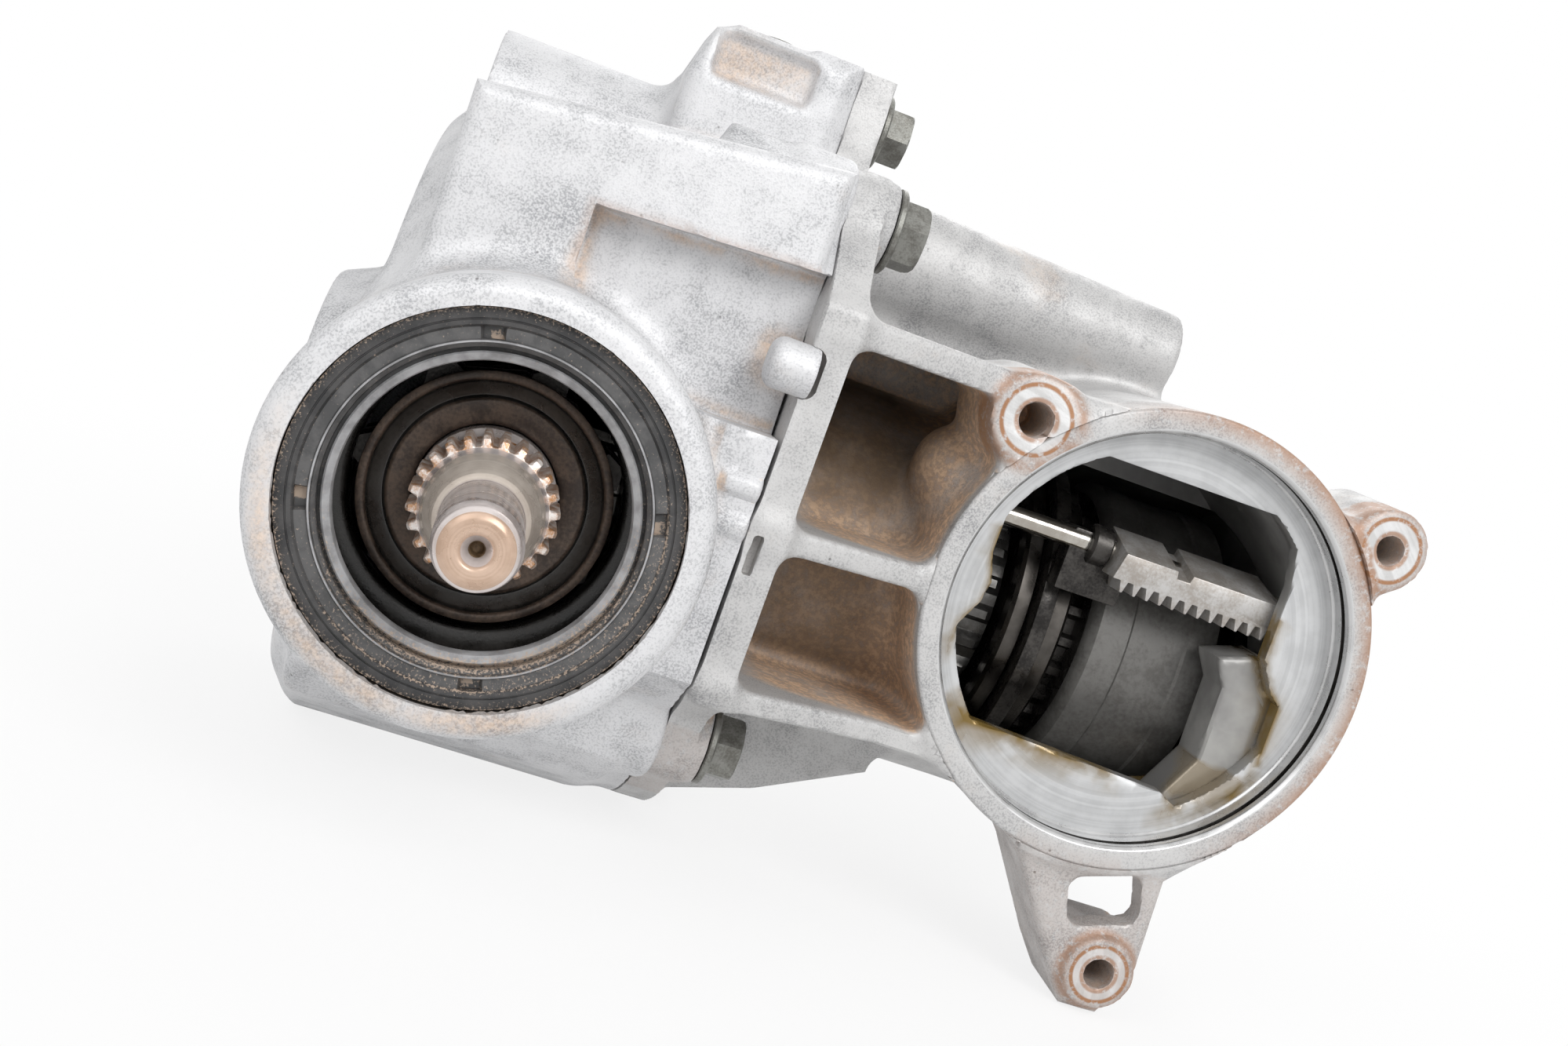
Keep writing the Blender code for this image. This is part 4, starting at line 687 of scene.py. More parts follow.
looks = {
    "caseCast": castLook("caseCast", (0.69, 0.69, 0.7), (0.17, 0.175, 0.19), 0.85, 0.75),
    "coverCast": castLook("coverCast", (0.57, 0.565, 0.56), (0.17, 0.17, 0.18), 0.85, 1.0,
                          [(95.0, 45.0, 43.3, 6.9, 3.9), (174.3, 45.0, 42.7, 6.5, 3.5),
                           (149.2, 45.0, -58.7, 6.0, 3.7)]),
    "innerCast": chamberLook("innerCast", (0.46, 0.455, 0.44), (0.26, 0.255, 0.25)),
    "steel": oilyLook("steel", (0.52, 0.5, 0.47), (0.3, 0.28, 0.26), 1.0, 0.2, 0.4),
    "darkSteel": oilyLook("darkSteel", (0.07, 0.065, 0.06), (0.02, 0.018, 0.017), 0.7, 0.2, 0.38),
    # near-black oily metal for bores and grooves; its darkness is partly oil and partly painted shade deep
    # inside them
    "oilyShadeBlack": oilyLook("oilyShadeBlack", (0.022, 0.02, 0.018), (0.009, 0.008, 0.007), 0.0, 0.22, 0.36),
    "rackSteel": oilyLook("rackSteel", (0.5, 0.49, 0.48), (0.34, 0.31, 0.28), 0.5, 0.32, 0.5),
    "brownSteel": oilyLook("brownSteel", (0.1, 0.07, 0.052), (0.035, 0.025, 0.02), 0.4, 0.35, 0.6),
    "splineSteel": oilyLook("splineSteel", (0.74, 0.7, 0.67), (0.42, 0.21, 0.09), 0.5, 0.28, 0.5, 420.0),
    "polished": oilyLook("polished", (0.5, 0.48, 0.44), (0.38, 0.35, 0.31), 1.0, 0.12, 0.24, 60.0),
    "boltSteel": oilyLook("boltSteel", (0.27, 0.27, 0.25), (0.14, 0.135, 0.12), 0.7, 0.35, 0.55, 260.0),
    "sealRubber": rubberLook("sealRubber", (0.1, 0.098, 0.098), (0.055, 0.055, 0.056)),
    "sealEdge": rubberLook("sealEdge", (0.062, 0.06, 0.06), (0.03, 0.03, 0.031)),
    "sealLip": rubberLook("sealLip", (0.36, 0.36, 0.37), (0.22, 0.22, 0.225)),
}
print("finishes made")

# Main case.
caseShape = dict(
    left=-30.0, right=47.0, drumRadius=64.0, wall=5.0, neckRadius=36.0, blockFront=36.0,
    block=[(-24.0, 18.0), (45.0, 18.0), (45.0, 74.3), (-24.0, 66.3)], blockDepth=84.0,
    recess=[(2.2, 24.0), (53.0, 24.0), (53.0, 55.6), (2.2, 52.9)], recessDepth=9.0,
    lower=[(50.0, -20.0), (50.0, -46.0), (58.0, -54.0), (74.0, -60.0), (96.0, -68.0), (130.0, -68.0),
           (140.0, -40.0), (105.0, -20.0)],
    hump=[(12.5, 40.0), (12.5, 86.0), (15.5, 96.5), (20.0, 98.6), (46.0, 98.6), (46.0, 40.0)],
    tube=(110.0, 66.0), tubeRadius=17.0, tubeBore=9.0, tubeLeft=-25.0,
    bossLeft=-42.0, sealRadius=17.8, sealStep=-35.4, bearingRadius=28.3, bearingLeft=-26.6, roomLeft=-14.5,
    seatRadius=32.85, seatDepth=10.0, flangeBack=37.0,
    nub=(35.2, 37.4), nubRadius=4.9, nubReach=3.4, frontRibs=[(14.0, 1.5), (6.4, 1.6)],
    humpRecess=[(17.0, 78.0, 87.4), (38.0, 88.6, 96.4)], fillPlace=(24.0, 26.0), drainPlace=(8.0, 112.0),
    ventPlace=(30.0, 104.0))
bolts = [(60.0, 68.0), (112.0, 91.0), (150.0, 60.0), (177.0, 8.0), (163.0, -38.0), (118.0, -59.0),
         (59.0, -40.0)]
dowels = [(74.0, 62.0), (144.0, -54.0)]
lugRadius = 9.0
boltHole = 4.3
dowelHole = 3.8


def flangeField(y, z):
    # the parting flange across the axle: a disc, a front web, a hump and the bolt lugs
    front = [(34.0, -24.0), (34.0, 50.0), (51.0, 68.0), (90.0, 68.0), (90.0, -40.0), (54.0, -38.0)]
    hump = [(82.0, 30.0), (88.0, 99.0), (114.0, 99.0), (152.0, 66.0), (150.0, 30.0)]
    field = np.hypot(y - axleY, z) - 66.0
    field = np.minimum(field, outlineField(y, z, front))
    field = softMin(field, outlineField(y, z, hump), 1.0)
    for boltY, boltZ in bolts:
        field = softMin(field, np.hypot(y - boltY, z - boltZ) - lugRadius + 0.05, 5.0)
    return field


def caseField(x, y, z):
    shape = caseShape
    field = roundBar(y, z, x, (axleY, 0.0), shape["drumRadius"], shape["left"], shape["right"] - 1.0, 7.0)
    neck = roundBar(x, z, y, (0.0, 0.0), shape["neckRadius"], 0.0, 60.0, 1.6)
    block = pushed(outlineField(x, z, shape["block"]), y, shape["blockFront"], shape["blockDepth"], 3.0)
    field = softMin(field, block, 6.0)
    field = softMin(field, pushed(outlineField(y, z, shape["lower"]), x, -24.8, 41.0, 3.0), 5.0)
    field = softMin(field, neck, 9.0)
    hump = pushed(outlineField(x, z, shape["hump"]), y, 85.0, 118.0, 4.0)
    field = softMin(field, hump, 6.0)
    tube = roundBar(y, z, x, shape["tube"], shape["tubeRadius"], shape["tubeLeft"], 38.0, 1.2)
    field = softMin(field, tube, 6.0)
    web = blockField(x, y, z, (-22.0, 84.0, 40.0), (38.0, 116.0, shape["tube"][1] - 1.0), 3.0)
    field = softMin(field, web, 5.0)
    boss = coneBar(y, z, x, (axleY, 0.0), (23.0, 31.0), shape["bossLeft"], -24.0, 1.5)
    field = softMin(field, boss, 6.0)
    flange = pushed(flangeField(y, z), x, shape["flangeBack"], shape["right"], 0.5)
    field = softMin(field, flange, 3.0)
    topLug = roundBar(y, z, x, bolts[0], lugRadius, 22.0, shape["right"], 1.5)
    field = softMin(field, topLug, 5.0)
    lowLug = roundBar(y, z, x, bolts[6], lugRadius, 24.0, shape["right"], 1.5)
    field = softMin(field, lowLug, 6.0)
    plug = roundBar(x, z, y, shape["fillPlace"], 13.0, 145.0, 171.0, 1.2)
    field = softMin(field, plug, 4.0)
    return frontPads(caseCuts(heldInBox(field, y, z), x, y, z), x, y, z)


def heldInBox(field, y, z):
    # the blends between lugs swell a little, and this keeps them inside the solids' own box
    return np.maximum(field, np.maximum(-67.95 - z, np.maximum(z - 100.5, y - 185.8)))


def frontPads(field, x, y, z):
    # a rounded nub that reaches over the joint, and two short ribs in front of the parting flange
    right = caseShape["right"]
    reach = right + caseShape["nubReach"]
    nub = roundBar(y, z, x, caseShape["nub"], caseShape["nubRadius"], 40.2, reach, 2.4)
    field = softMin(field, nub, 3.0)
    for ribZ, half in caseShape["frontRibs"]:
        rib = blockField(x, y, z, (39.8, 32.8, ribZ - half), (right - 0.2, 40.0, ribZ + half), 0.8)
        field = softMin(field, rib, 1.5)
    return field


def caseCuts(field, x, y, z):
    shape = caseShape
    recess = pushed(outlineField(x, z, shape["recess"]), y, 20.0,
                    shape["blockFront"] + shape["recessDepth"], 1.0)
    field = softCut(field, recess, 0.4)
    # the neck comes back over the recess with its fillet
    neck = roundBar(x, z, y, (0.0, 0.0), shape["neckRadius"], 0.0, 60.0, 1.6)
    field = softMin(field, neck, 7.0)
    low, room, drum = shape["bossLeft"] - 2.0, shape["roomLeft"], shape["drumRadius"] - shape["wall"]
    seal, bearing = shape["sealRadius"], shape["bearingRadius"]
    hollow = [(-9.0, low), (seal, low), (seal, shape["sealStep"]), (15.0, shape["sealStep"]),
              (15.0, shape["bearingLeft"]), (bearing, shape["bearingLeft"]), (bearing, room), (drum, room),
              (drum, 50.0), (-9.0, 50.0)]
    field = np.maximum(field, -outlineField(np.hypot(y - axleY, z), x, hollow))
    seat = [(-9.0, -3.0), (shape["seatRadius"], -3.0), (shape["seatRadius"], shape["seatDepth"]),
            (bearing, shape["seatDepth"]), (bearing, 62.0), (-9.0, 62.0)]
    field = np.maximum(field, -outlineField(np.hypot(x, z), y, seat))
    humpRecess = blockField(x, y, z, *shape["humpRecess"], 2.0)
    field = softCut(field, humpRecess, 2.6)
    bore = roundBar(y, z, x, shape["tube"], shape["tubeBore"], -40.0, 24.0, 0.8)
    field = softCut(field, bore, 0.8)
    field = drilled(field, y, z, x, bolts, boltHole, 32.0, 50.0)
    field = drilled(field, y, z, x, dowels, dowelHole, 40.7, 50.0)
    field = drilled(field, x, z, y, [shape["fillPlace"]], 8.3, 139.0, 175.0)
    field = drilled(field, x, y, z, [shape["drainPlace"]], 7.3, -80.0, -52.0)
    field = drilled(field, x, y, z, [shape["drainPlace"]], 12.0, -80.0, -63.5)
    return drilled(field, x, y, z, [shape["ventPlace"]], 3.3, 55.0, 110.0)


castStep = 1.0
mostTriangles = 190000
caseMesh = castMesh("main_case_casting", caseField, (-44.0, -2.0, -70.0), (49.0, 190.0, 102.0), castStep,
                    mostTriangles)


def caseMarks(x, y, z):
    # rust along the crisp edges of the recess, dust in the hump's recess and on the shelf, and round the neck
    # tan dust that is also painted shade, heavier towards the lower left
    edge = np.minimum(np.abs(outlineField(x, z, caseShape["recess"])), 9.0)
    fromFront = np.abs(y - caseShape["blockFront"])
    nearEdge = np.exp(-(edge / 0.9) ** 2) * (fromFront < 1.2) * (z > 40.0)
    beside, above = np.maximum(np.abs(x - 27.5) - 9.0, 0.0), np.maximum(np.abs(z - 91.0) - 3.0, 0.0)
    inRecess = np.exp(-(np.hypot(beside, above) / 2.5) ** 2) * (y < 96.0) * (y > 80.0)
    corner = np.exp(-(np.hypot(x - 2.2, (z - 42.0) / 2.5) / 4.5) ** 2) * (fromFront < 8.0)
    # painted shade with tan dust: the neck's rim darker towards the lower left
    lowLeftShade = np.clip(0.3 - (0.6 * x + z) / 30.0, 0.0, 1.0)
    ring = 0.62 * lowLeftShade * np.exp(-((np.hypot(x, z) - 34.5) / 3.5) ** 2) * (y < 8.0)
    shelf = 0.5 * np.exp(-((z - 70.0) / 5.0) ** 2) * (x > 6.0) * (x < 47.0) * np.exp(-((y - 84.0) / 5.0) ** 2)
    dusty = np.maximum(np.maximum(0.6 * inRecess, 0.55 * corner), np.maximum(ring, shelf))
    return {"rust": 0.35 * nearEdge, "painted_shade": np.zeros(len(x)), "cavity": dusty, "clean": np.zeros(len(x))}


markSurface(caseMesh, caseField, caseMarks)
caseMesh.shade_smooth()
caseMesh.set_sharp_from_angle(angle=math.radians(40))
caseMiddle = faceMiddles(caseMesh)
neckDistance = np.hypot(caseMiddle[:, 0], caseMiddle[:, 2])
# the bore inside the neck takes the near-black finish, partly painted shade
insideNeck = (neckDistance < 32.9) & (caseMiddle[:, 1] > 0.3) & (caseMiddle[:, 1] < 62.0)
setFinish(caseMesh, insideNeck)
placePiece("main_case_casting", caseMesh, "housing", [looks["caseCast"], looks["oilyShadeBlack"]],
           ["main_case"])
print("main case made:", len(caseMesh.polygons), "faces")

# Side cover with the axle tube and the actuator housing.
coverShape = dict(
    left=47.3, plate=54.8, lugFace=57.3, tubeEnd=188.0, chamberLeft=98.0, chamberRight=168.0, chamber=38.0,
    mouth=(133.4, 9.0), mouthFace=45.0, mouthDepth=7.0,
    cupRadius=47.2, ribFront=35.0, ribs=[(47.8, 5.6), (6.8, 4.8), (-25.0, 4.4)],
    ears=[(95.0, 43.3, 8.8, 3.4), (174.3, 42.7, 8.2, 3.0), (149.2, -58.7, 7.6, 3.2)], earDepth=24.0,
    slot=(145.5, -44.2, 15.5, 10.5, 18.0), ringRadius=44.4, ringDepth=2.0, rightTube=(14.0, 10.5, 139.0, 5.2),
    window=[(96.0, -17.0), (97.0, 0.0), (99.8, 5.5), (100.6, 10.0), (98.6, 16.0), (98.6, 27.0), (101.0, 41.4),
            (157.9, 41.6), (160.9, 28.8), (161.3, 12.9), (165.4, 6.4), (168.0, 4.5), (168.3, -8.3),
            (167.6, -15.4), (158.3, -23.8), (150.5, -20.0)],
    pad=[(153.6, 9.8), (163.2, 12.8), (167.2, 6.0), (169.8, 4.0), (170.2, -9.0), (169.4, -16.0),
         (160.0, -25.4), (152.6, -22.0), (157.9, -12.0), (157.3, 4.0)], padFront=56.6, padBack=68.6,
    ledgeBack=56.2,
    lump=(90.5, 69.0, 28.0, 9.5), edgePocket=(48.7, 50.7, -1.4, 6.4))


def coverField(x, y, z):
    shape = coverShape
    plate = shape["plate"]
    # the joint opens a little below the nub and shows there as a black line
    left = shape["left"]
    opened = np.clip((34.0 - z) / 2.0, 0.0, 1.0) * np.clip((60.0 - y) / 6.0, 0.0, 1.0)
    field = np.maximum(pushed(flangeField(y, z), x, left, plate, 0.6), left + 0.55 * opened - x)
    radius = np.hypot(y - axleY, z)
    field = np.minimum(field, pushed(radius - 34.0, x, 36.5, left + 2.0, 1.0))
    tubeEnd, start = shape["tubeEnd"], shape["chamberLeft"]
    tube = outlineField(radius, x, [
        (-9.0, left + 2.0), (45.0, left + 2.0), (45.0, plate), (37.0, plate + 7.0), (37.0, start - 6.0),
        (42.0, start), (42.0, tubeEnd - 9.0), (38.0, tubeEnd - 7.0), (36.5, tubeEnd - 0.2),
        (-9.0, tubeEnd - 0.2)])
    field = softMin(field, tube, 4.0)
    cupX, cupZ = shape["mouth"]
    face = shape["mouthFace"]
    cup = roundBar(x, z, y, (cupX, cupZ), shape["cupRadius"], face, axleY, 1.4)
    field = softMin(field, cup, 6.0)
    for ribZ, thick in shape["ribs"]:
        outline = [(left + 2.0, shape["ribFront"]), (plate, shape["ribFront"]), (88.0, face + 1.5),
                   (110.0, face + 1.5), (110.0, axleY - 2.0), (left + 2.0, axleY - 2.0)]
        rib = pushed(outlineField(x, y, outline), z, ribZ - thick / 2, ribZ + thick / 2, 1.2)
        field = softMin(field, rib, 5.0)
    web = pushed(outlineField(x, z, [(left + 2.0, -60.0), (plate + 2.0, -60.0), (77.0, -54.0), (100.0, -43.0),
                                     (100.0, -24.0), (left + 2.0, -24.0)]), y, 86.0, 104.0, 1.5)
    field = softMin(field, web, 5.0)
    for boltY, boltZ in bolts:
        lug = roundBar(y, z, x, (boltY, boltZ), lugRadius - 0.1, left + 3.0, shape["lugFace"], 0.8)
        field = softMin(field, lug, 2.0)
    rootRadius, endRadius, tubeRight, _ = shape["rightTube"]
    arm = coneBar(y, z, x, (110.0, 66.0), (rootRadius, endRadius), left + 2.0, tubeRight, 1.4)
    field = softMin(field, arm, 6.0)
    armWeb = blockField(x, y, z, (left + 2.0, 106.0, 30.0), (118.0, 114.0, 60.0), 1.5)
    field = softMin(field, armWeb, 5.0)
    # a round lump in the upper rib pocket
    lumpX, lumpY, lumpZ, lumpRadius = shape["lump"]
    lump = np.sqrt((x - lumpX) ** 2 + (y - lumpY) ** 2 + (z - lumpZ) ** 2) - lumpRadius
    field = softMin(field, lump, 7.0)
    return coverCuts(heldInBox(earField(field, x, y, z), y, z), x, y, z)


def earField(field, x, y, z):
    # two ears tied to the mouth by webs, and the long foot below with the third
    shape = coverShape
    cupX, cupZ = shape["mouth"]
    face = shape["mouthFace"]
    back = face + shape["earDepth"]
    for earX, earZ, radius, _ in shape["ears"][:2]:
        way = np.array([cupX - earX, cupZ - earZ])
        way = way / np.linalg.norm(way)
        over = np.array([-way[1], way[0]]) * (radius - 0.6)
        near, foot = np.array([earX, earZ]), np.array([earX, earZ]) + way * 14.0
        outline = [tuple(p) for p in (near + over, near - over, foot - over, foot + over)]
        field = softMin(field, pushed(outlineField(x, z, outline), y, face + 1.5, back, 1.5), 6.0)
        field = softMin(field, coneBar(x, z, y, (earX, earZ), (radius, radius + 1.0), face, back, 1.0), 3.0)
    lower = [(121.0, -30.0), (123.2, -38.0), (139.0, -61.0), (144.5, -67.8), (153.0, -67.8), (157.8, -56.0),
             (156.6, -37.0), (164.8, -26.4), (172.0, -14.0)]
    field = softMin(field, pushed(outlineField(x, z, lower), y, face + 2.0, back, 2.0), 5.0)
    earX, earZ, radius, _ = shape["ears"][2]
    return softMin(field, roundBar(x, z, y, (earX, earZ), radius, face, back - 1.0, 1.0), 2.0)


def coverCuts(field, x, y, z):
    shape = coverShape
    # the case's nub lies in a hollow of the cover's edge
    reach = shape["left"] + 3.2
    nubRoom = roundBar(y, z, x, caseShape["nub"], caseShape["nubRadius"] + 0.06, 40.0, reach, 2.4)
    field = np.maximum(field, -nubRoom)
    plate, start, end = shape["plate"], shape["chamberLeft"], shape["chamberRight"]
    radius = np.hypot(y - axleY, z)
    hollow = [(-9.0, 20.0), (28.3, 20.0), (28.3, 50.1), (19.0, 50.1), (19.0, plate + 6.0),
              (31.0, plate + 10.0), (31.0, start - 5.0), (19.0, start - 5.0), (19.0, start),
              (shape["chamber"], start), (shape["chamber"], end), (26.3, end), (26.3, end + 12.6),
              (21.8, end + 12.6), (21.8, 190.0), (-9.0, 190.0)]
    field = np.maximum(field, -outlineField(radius, x, hollow))
    cupX, cupZ = shape["mouth"]
    face, ledge = shape["mouthFace"], shape["chamber"] - 0.4
    fromMouth = np.hypot(x - cupX, z - cupZ)
    outside, ring, step = shape["cupRadius"] - 0.1, shape["ringRadius"], face + shape["ringDepth"]
    counterbore = [(-9.0, face - 9.0), (outside, face - 9.0), (outside, step), (ring, step),
                   (ring, face + shape["mouthDepth"]), (-9.0, face + shape["mouthDepth"])]
    field = np.maximum(field, -outlineField(fromMouth, y, counterbore))
    window = np.maximum(outlineField(x, z, shape["window"]), fromMouth - ledge)
    field = softCut(field, np.maximum(window, np.maximum(face - y, y - 75.0)), 1.2)
    room = np.maximum(fromMouth - ledge, np.maximum(shape["ledgeBack"] - y, y - 97.0))
    field = softCut(field, room, 0.8)
    pad = pushed(outlineField(x, z, shape["pad"]), y, shape["padFront"], shape["padBack"], 1.2)
    field = np.minimum(field, np.maximum(pad, fromMouth - ledge - 1.0))
    low, high, bottom, top = shape["edgePocket"]
    field = softCut(field, blockField(x, y, z, (low, 30.0, bottom), (high, 36.6, top), 0.7), 0.6)
    field = np.maximum(field, -roundBar(y, z, x, (66.0, 23.0), 2.6, 93.2, 173.8, 0.1))
    for earX, earZ, _, hole in shape["ears"]:
        field = softCut(field, roundBar(x, z, y, (earX, earZ), hole, face - 5.0, face + 18.0, 0.3), 0.8)
    slotX, slotZ, width, height, lean = shape["slot"]
    c, s = math.cos(math.radians(lean)), math.sin(math.radians(lean))
    u = (x - slotX) * c + (z - slotZ) * s
    v = -(x - slotX) * s + (z - slotZ) * c
    corner = 3.0
    slotField = np.hypot(np.maximum(np.abs(u) - width / 2 + corner, 0),
                         np.maximum(np.abs(v) - height / 2 + corner, 0))
    field = softCut(field, np.maximum(slotField - corner, face - 2.0 - y), 1.2)
    relief = blockField(x, y, z, (138.4, face + 8.0, -52.0), (159.0, face + 40.0, -38.0), 2.0)
    field = softCut(field, relief, 1.0)
    tubeRight, bore = shape["rightTube"][2:]
    hole = roundBar(y, z, x, (110.0, 66.0), bore, tubeRight - 30.0, tubeRight + 5.0, 0.3)
    field = softCut(field, hole, 0.8)
    field = drilled(field, y, z, x, bolts, boltHole, 40.0, 60.0)
    return drilled(field, y, z, x, dowels, dowelHole, 40.0, 53.3)


coverMesh = castMesh("side_cover_casting", coverField, (34.0, 29.0, -70.0), (190.0, 190.0, 102.0), castStep,
                     mostTriangles)


def inTube(x, y, z):
    # the chamber round the axle
    return (np.hypot(y - axleY, z) < coverShape["chamber"] + 0.6) & (x > 96.0) & (x < 169.0)


def coverMarks(x, y, z):
    # rust on the mouth's outer edge, oil round the window and on the ledge, and painted shade deep in the rib
    # pockets, deep in the chamber and in the small pocket at the joint
    shape = coverShape
    face = shape["mouthFace"]
    cupX, cupZ = shape["mouth"]
    fromMouth = np.hypot(x - cupX, z - cupZ)
    side = np.clip((x - cupX + 0.6 * (z - cupZ)) / 30.0, 0.0, 1.0)
    onRim = (fromMouth < shape["cupRadius"] + 1.5) & (y < face + 14.0)
    outward = np.clip((y - face - 2.0) / 6.0, 0.0, 1.0)
    fromEdge = np.maximum(shape["cupRadius"] - fromMouth, 0.0)
    rust = np.exp(-(fromEdge / 2.2) ** 2) * onRim * side * (0.8 - 0.5 * outward)
    inPocket = (x > 54.0) & (x < 97.0) & (z > -23.5) & (z < 45.6) & (y < 104.0)
    inPocket = inPocket & (fromMouth > shape["cupRadius"] - 1.0)
    # painted shade: darker the deeper into the rib pockets, with a brownish tint
    deepPocket = np.clip((y - 54.0) / 22.0, 0.0, 0.9) * inPocket * np.clip((96.0 - x) / 16.0, 0.3, 1.0)
    dusty = 0.95 * inPocket * np.clip((y - 44.0) / 8.0, 0.0, 1.0) * np.clip((x - 52.0) / 16.0, 0.45, 1.0)
    # less painted shade on the ribs' upward faces
    shelf = sum(np.exp(-((z - ribZ - thick / 2) / 2.6) ** 2) for ribZ, thick in shape["ribs"][1:])
    deepPocket = deepPocket * (1.0 - 0.85 * np.clip(shelf, 0.0, 1.0))
    inRoom = (fromMouth < shape["chamber"] + 0.2) & (y < 98.0)
    inside = (inTube(x, y, z) | inRoom) & (y > face + shape["mouthDepth"] + 6.0)
    # painted shade: darker deeper in the chamber and towards its top
    deepInside = np.clip((y - 62.0) / 18.0, 0.0, 0.6) * inside * np.clip((z - 14.0) / 6.0, 0.15, 1.0)
    edge = np.abs(outlineField(x, z, shape["window"]))
    lowEdge = outlineField(x, z, shape["window"]) + 0.05 * (x - 96.0)
    onLedge = 0.55 * np.clip((7.6 - lowEdge) / 0.5, 0.0, 1.0) * (z < -12.0)
    oil = np.exp(-(edge / 1.1) ** 2) * (z < 22.0) + onLedge
    oil = np.clip(oil, 0.0, 1.0) * (fromMouth < shape["ringRadius"]) * (y > face + 3.0) * (y < 98.0)
    for earX, earZ, radius, _ in shape["ears"]:
        fromEar = np.hypot(x - earX, z - earZ)
        rust = np.maximum(rust, 0.75 * np.exp(-((fromEar - radius - 0.4) / 1.2) ** 2) * (y < face + 9.0))
    foot = (z < -36.0) & (y < face + 26.0)
    rust = np.maximum(rust, 0.16 * foot)
    nick = (x > 48.0) & (x < 51.4) & (z > -2.2) & (z < 7.2) & (y < 37.5)
    arm = (x > 56.0) & (z > 46.0) & (y > 88.0)
    # the shade values are painted shade: the rib pockets, the chamber and a little at the back of the small
    # pocket at the joint
    painted_shade = np.maximum(np.maximum(deepPocket, deepInside), 0.25 * nick * (y > 35.2))
    return {"rust": rust, "painted_shade": painted_shade, "oil": oil, "cavity": dusty, "clean": np.maximum(nick, 0.75 * arm)}


markSurface(coverMesh, coverField, coverMarks)
coverMesh.shade_smooth()
coverMesh.set_sharp_from_angle(angle=math.radians(40))


def coverFinishes(mesh):
    # 0 cast skin, 1 floor of the counterbore and the window's edge, 2 oily casting inside the chamber
    middle = faceMiddles(mesh)
    x, y, z = middle.T
    shape = coverShape
    floor = shape["mouthFace"] + shape["mouthDepth"]
    fromMouth = np.hypot(x - shape["mouth"][0], z - shape["mouth"][1])
    finish = np.zeros(len(middle), np.int32)
    finish[((fromMouth < shape["chamber"]) & (y > floor + 0.4) & (y < 98.0)) | inTube(x, y, z)] = 2
    finish[(fromMouth < shape["ringRadius"] + 0.2) & (y > shape["mouthFace"] + 0.4) & (y < floor + 6.0)] = 1
    return finish


setFinish(coverMesh, coverFinishes(coverMesh))
mouthX, mouthZ = coverShape["mouth"]
looks["mouthFace"] = turnedLook("mouthFace", (mouthX, 45.0, mouthZ), (0.62, 0.62, 0.62), (0.42, 0.42, 0.42),
                                0.7, flat=(1, 0, 1))
looks["mouthFloor"] = chamberLook("mouthFloor", (0.38, 0.375, 0.36), (0.24, 0.235, 0.23),
                                  (mouthX, 52.5, mouthZ))
placePiece("side_cover_casting", coverMesh, "housing",
           [looks["coverCast"], looks["mouthFloor"], looks["innerCast"]], ["side_cover"])
print("side cover made:", len(coverMesh.polygons), "faces")

# Register of the actuator mouth: the rim's face, the counterbore's wall and the seal groove in that wall.
registerShape = dict(outside=47.2, land=43.3, bore=42.2, groove=(47.3, 48.7), grooveRadius=43.5, depth=7.2,
                     ease=0.2, sides=256)


def makeRegister():
    shape = registerShape
    face = coverShape["mouthFace"]
    start, end = shape["groove"]
    bore, outside, floor = shape["bore"], shape["outside"], face + shape["depth"]
    back = shape["grooveRadius"] + 1.2
    outline = [(bore, face + 0.8), (bore + 0.8, face), (outside - 0.5, face), (outside, face + 0.5),
               (outside, face + 2.4), (back, face + 2.4), (back, floor),
               (bore - 0.6, floor), (bore - 0.6, floor - 0.35), (bore, floor - 0.9), (bore, end),
               (shape["grooveRadius"], end), (shape["grooveRadius"], start), (bore, start)]
    rings = roundCorners(outline, shape["ease"], 2)
    mesh = ringMesh("mouth_register", [(rings, "y", (mouthX, 0.0, mouthZ), shape["sides"])])
    points, _ = localArrays(mesh)
    marked = coverMarks(*points.T)
    marked.pop("clean")
    for label, value in marked.items():
        putValues(mesh, label, value)
    middle = faceMiddles(mesh)
    radius = np.hypot(middle[:, 0] - mouthX, middle[:, 2] - mouthZ)
    finish = np.where(radius > shape["land"], 2, 0)
    # the seal groove takes the near-black finish, partly painted shade
    finish[(radius > bore + 0.05) & (middle[:, 1] > start - 0.05) & (middle[:, 1] < end + 0.05)] = 1
    setFinish(mesh, finish)
    placePiece(mesh.name, mesh, "housing",
               [looks["mouthFace"], looks["oilyShadeBlack"], looks["coverCast"]])


makeRegister()

# Pinion seal with its garter spring. Notches are set by their angle in degrees, width and depth.
sealShape = dict(outside=32.75, lip=24.0, width=9.0, band=(29.7, 27.5), sides=360,
                 notchAngles=(105.0, 194.0, 284.0, 14.0), notchHalf=3.2, notchDepth=1.5)


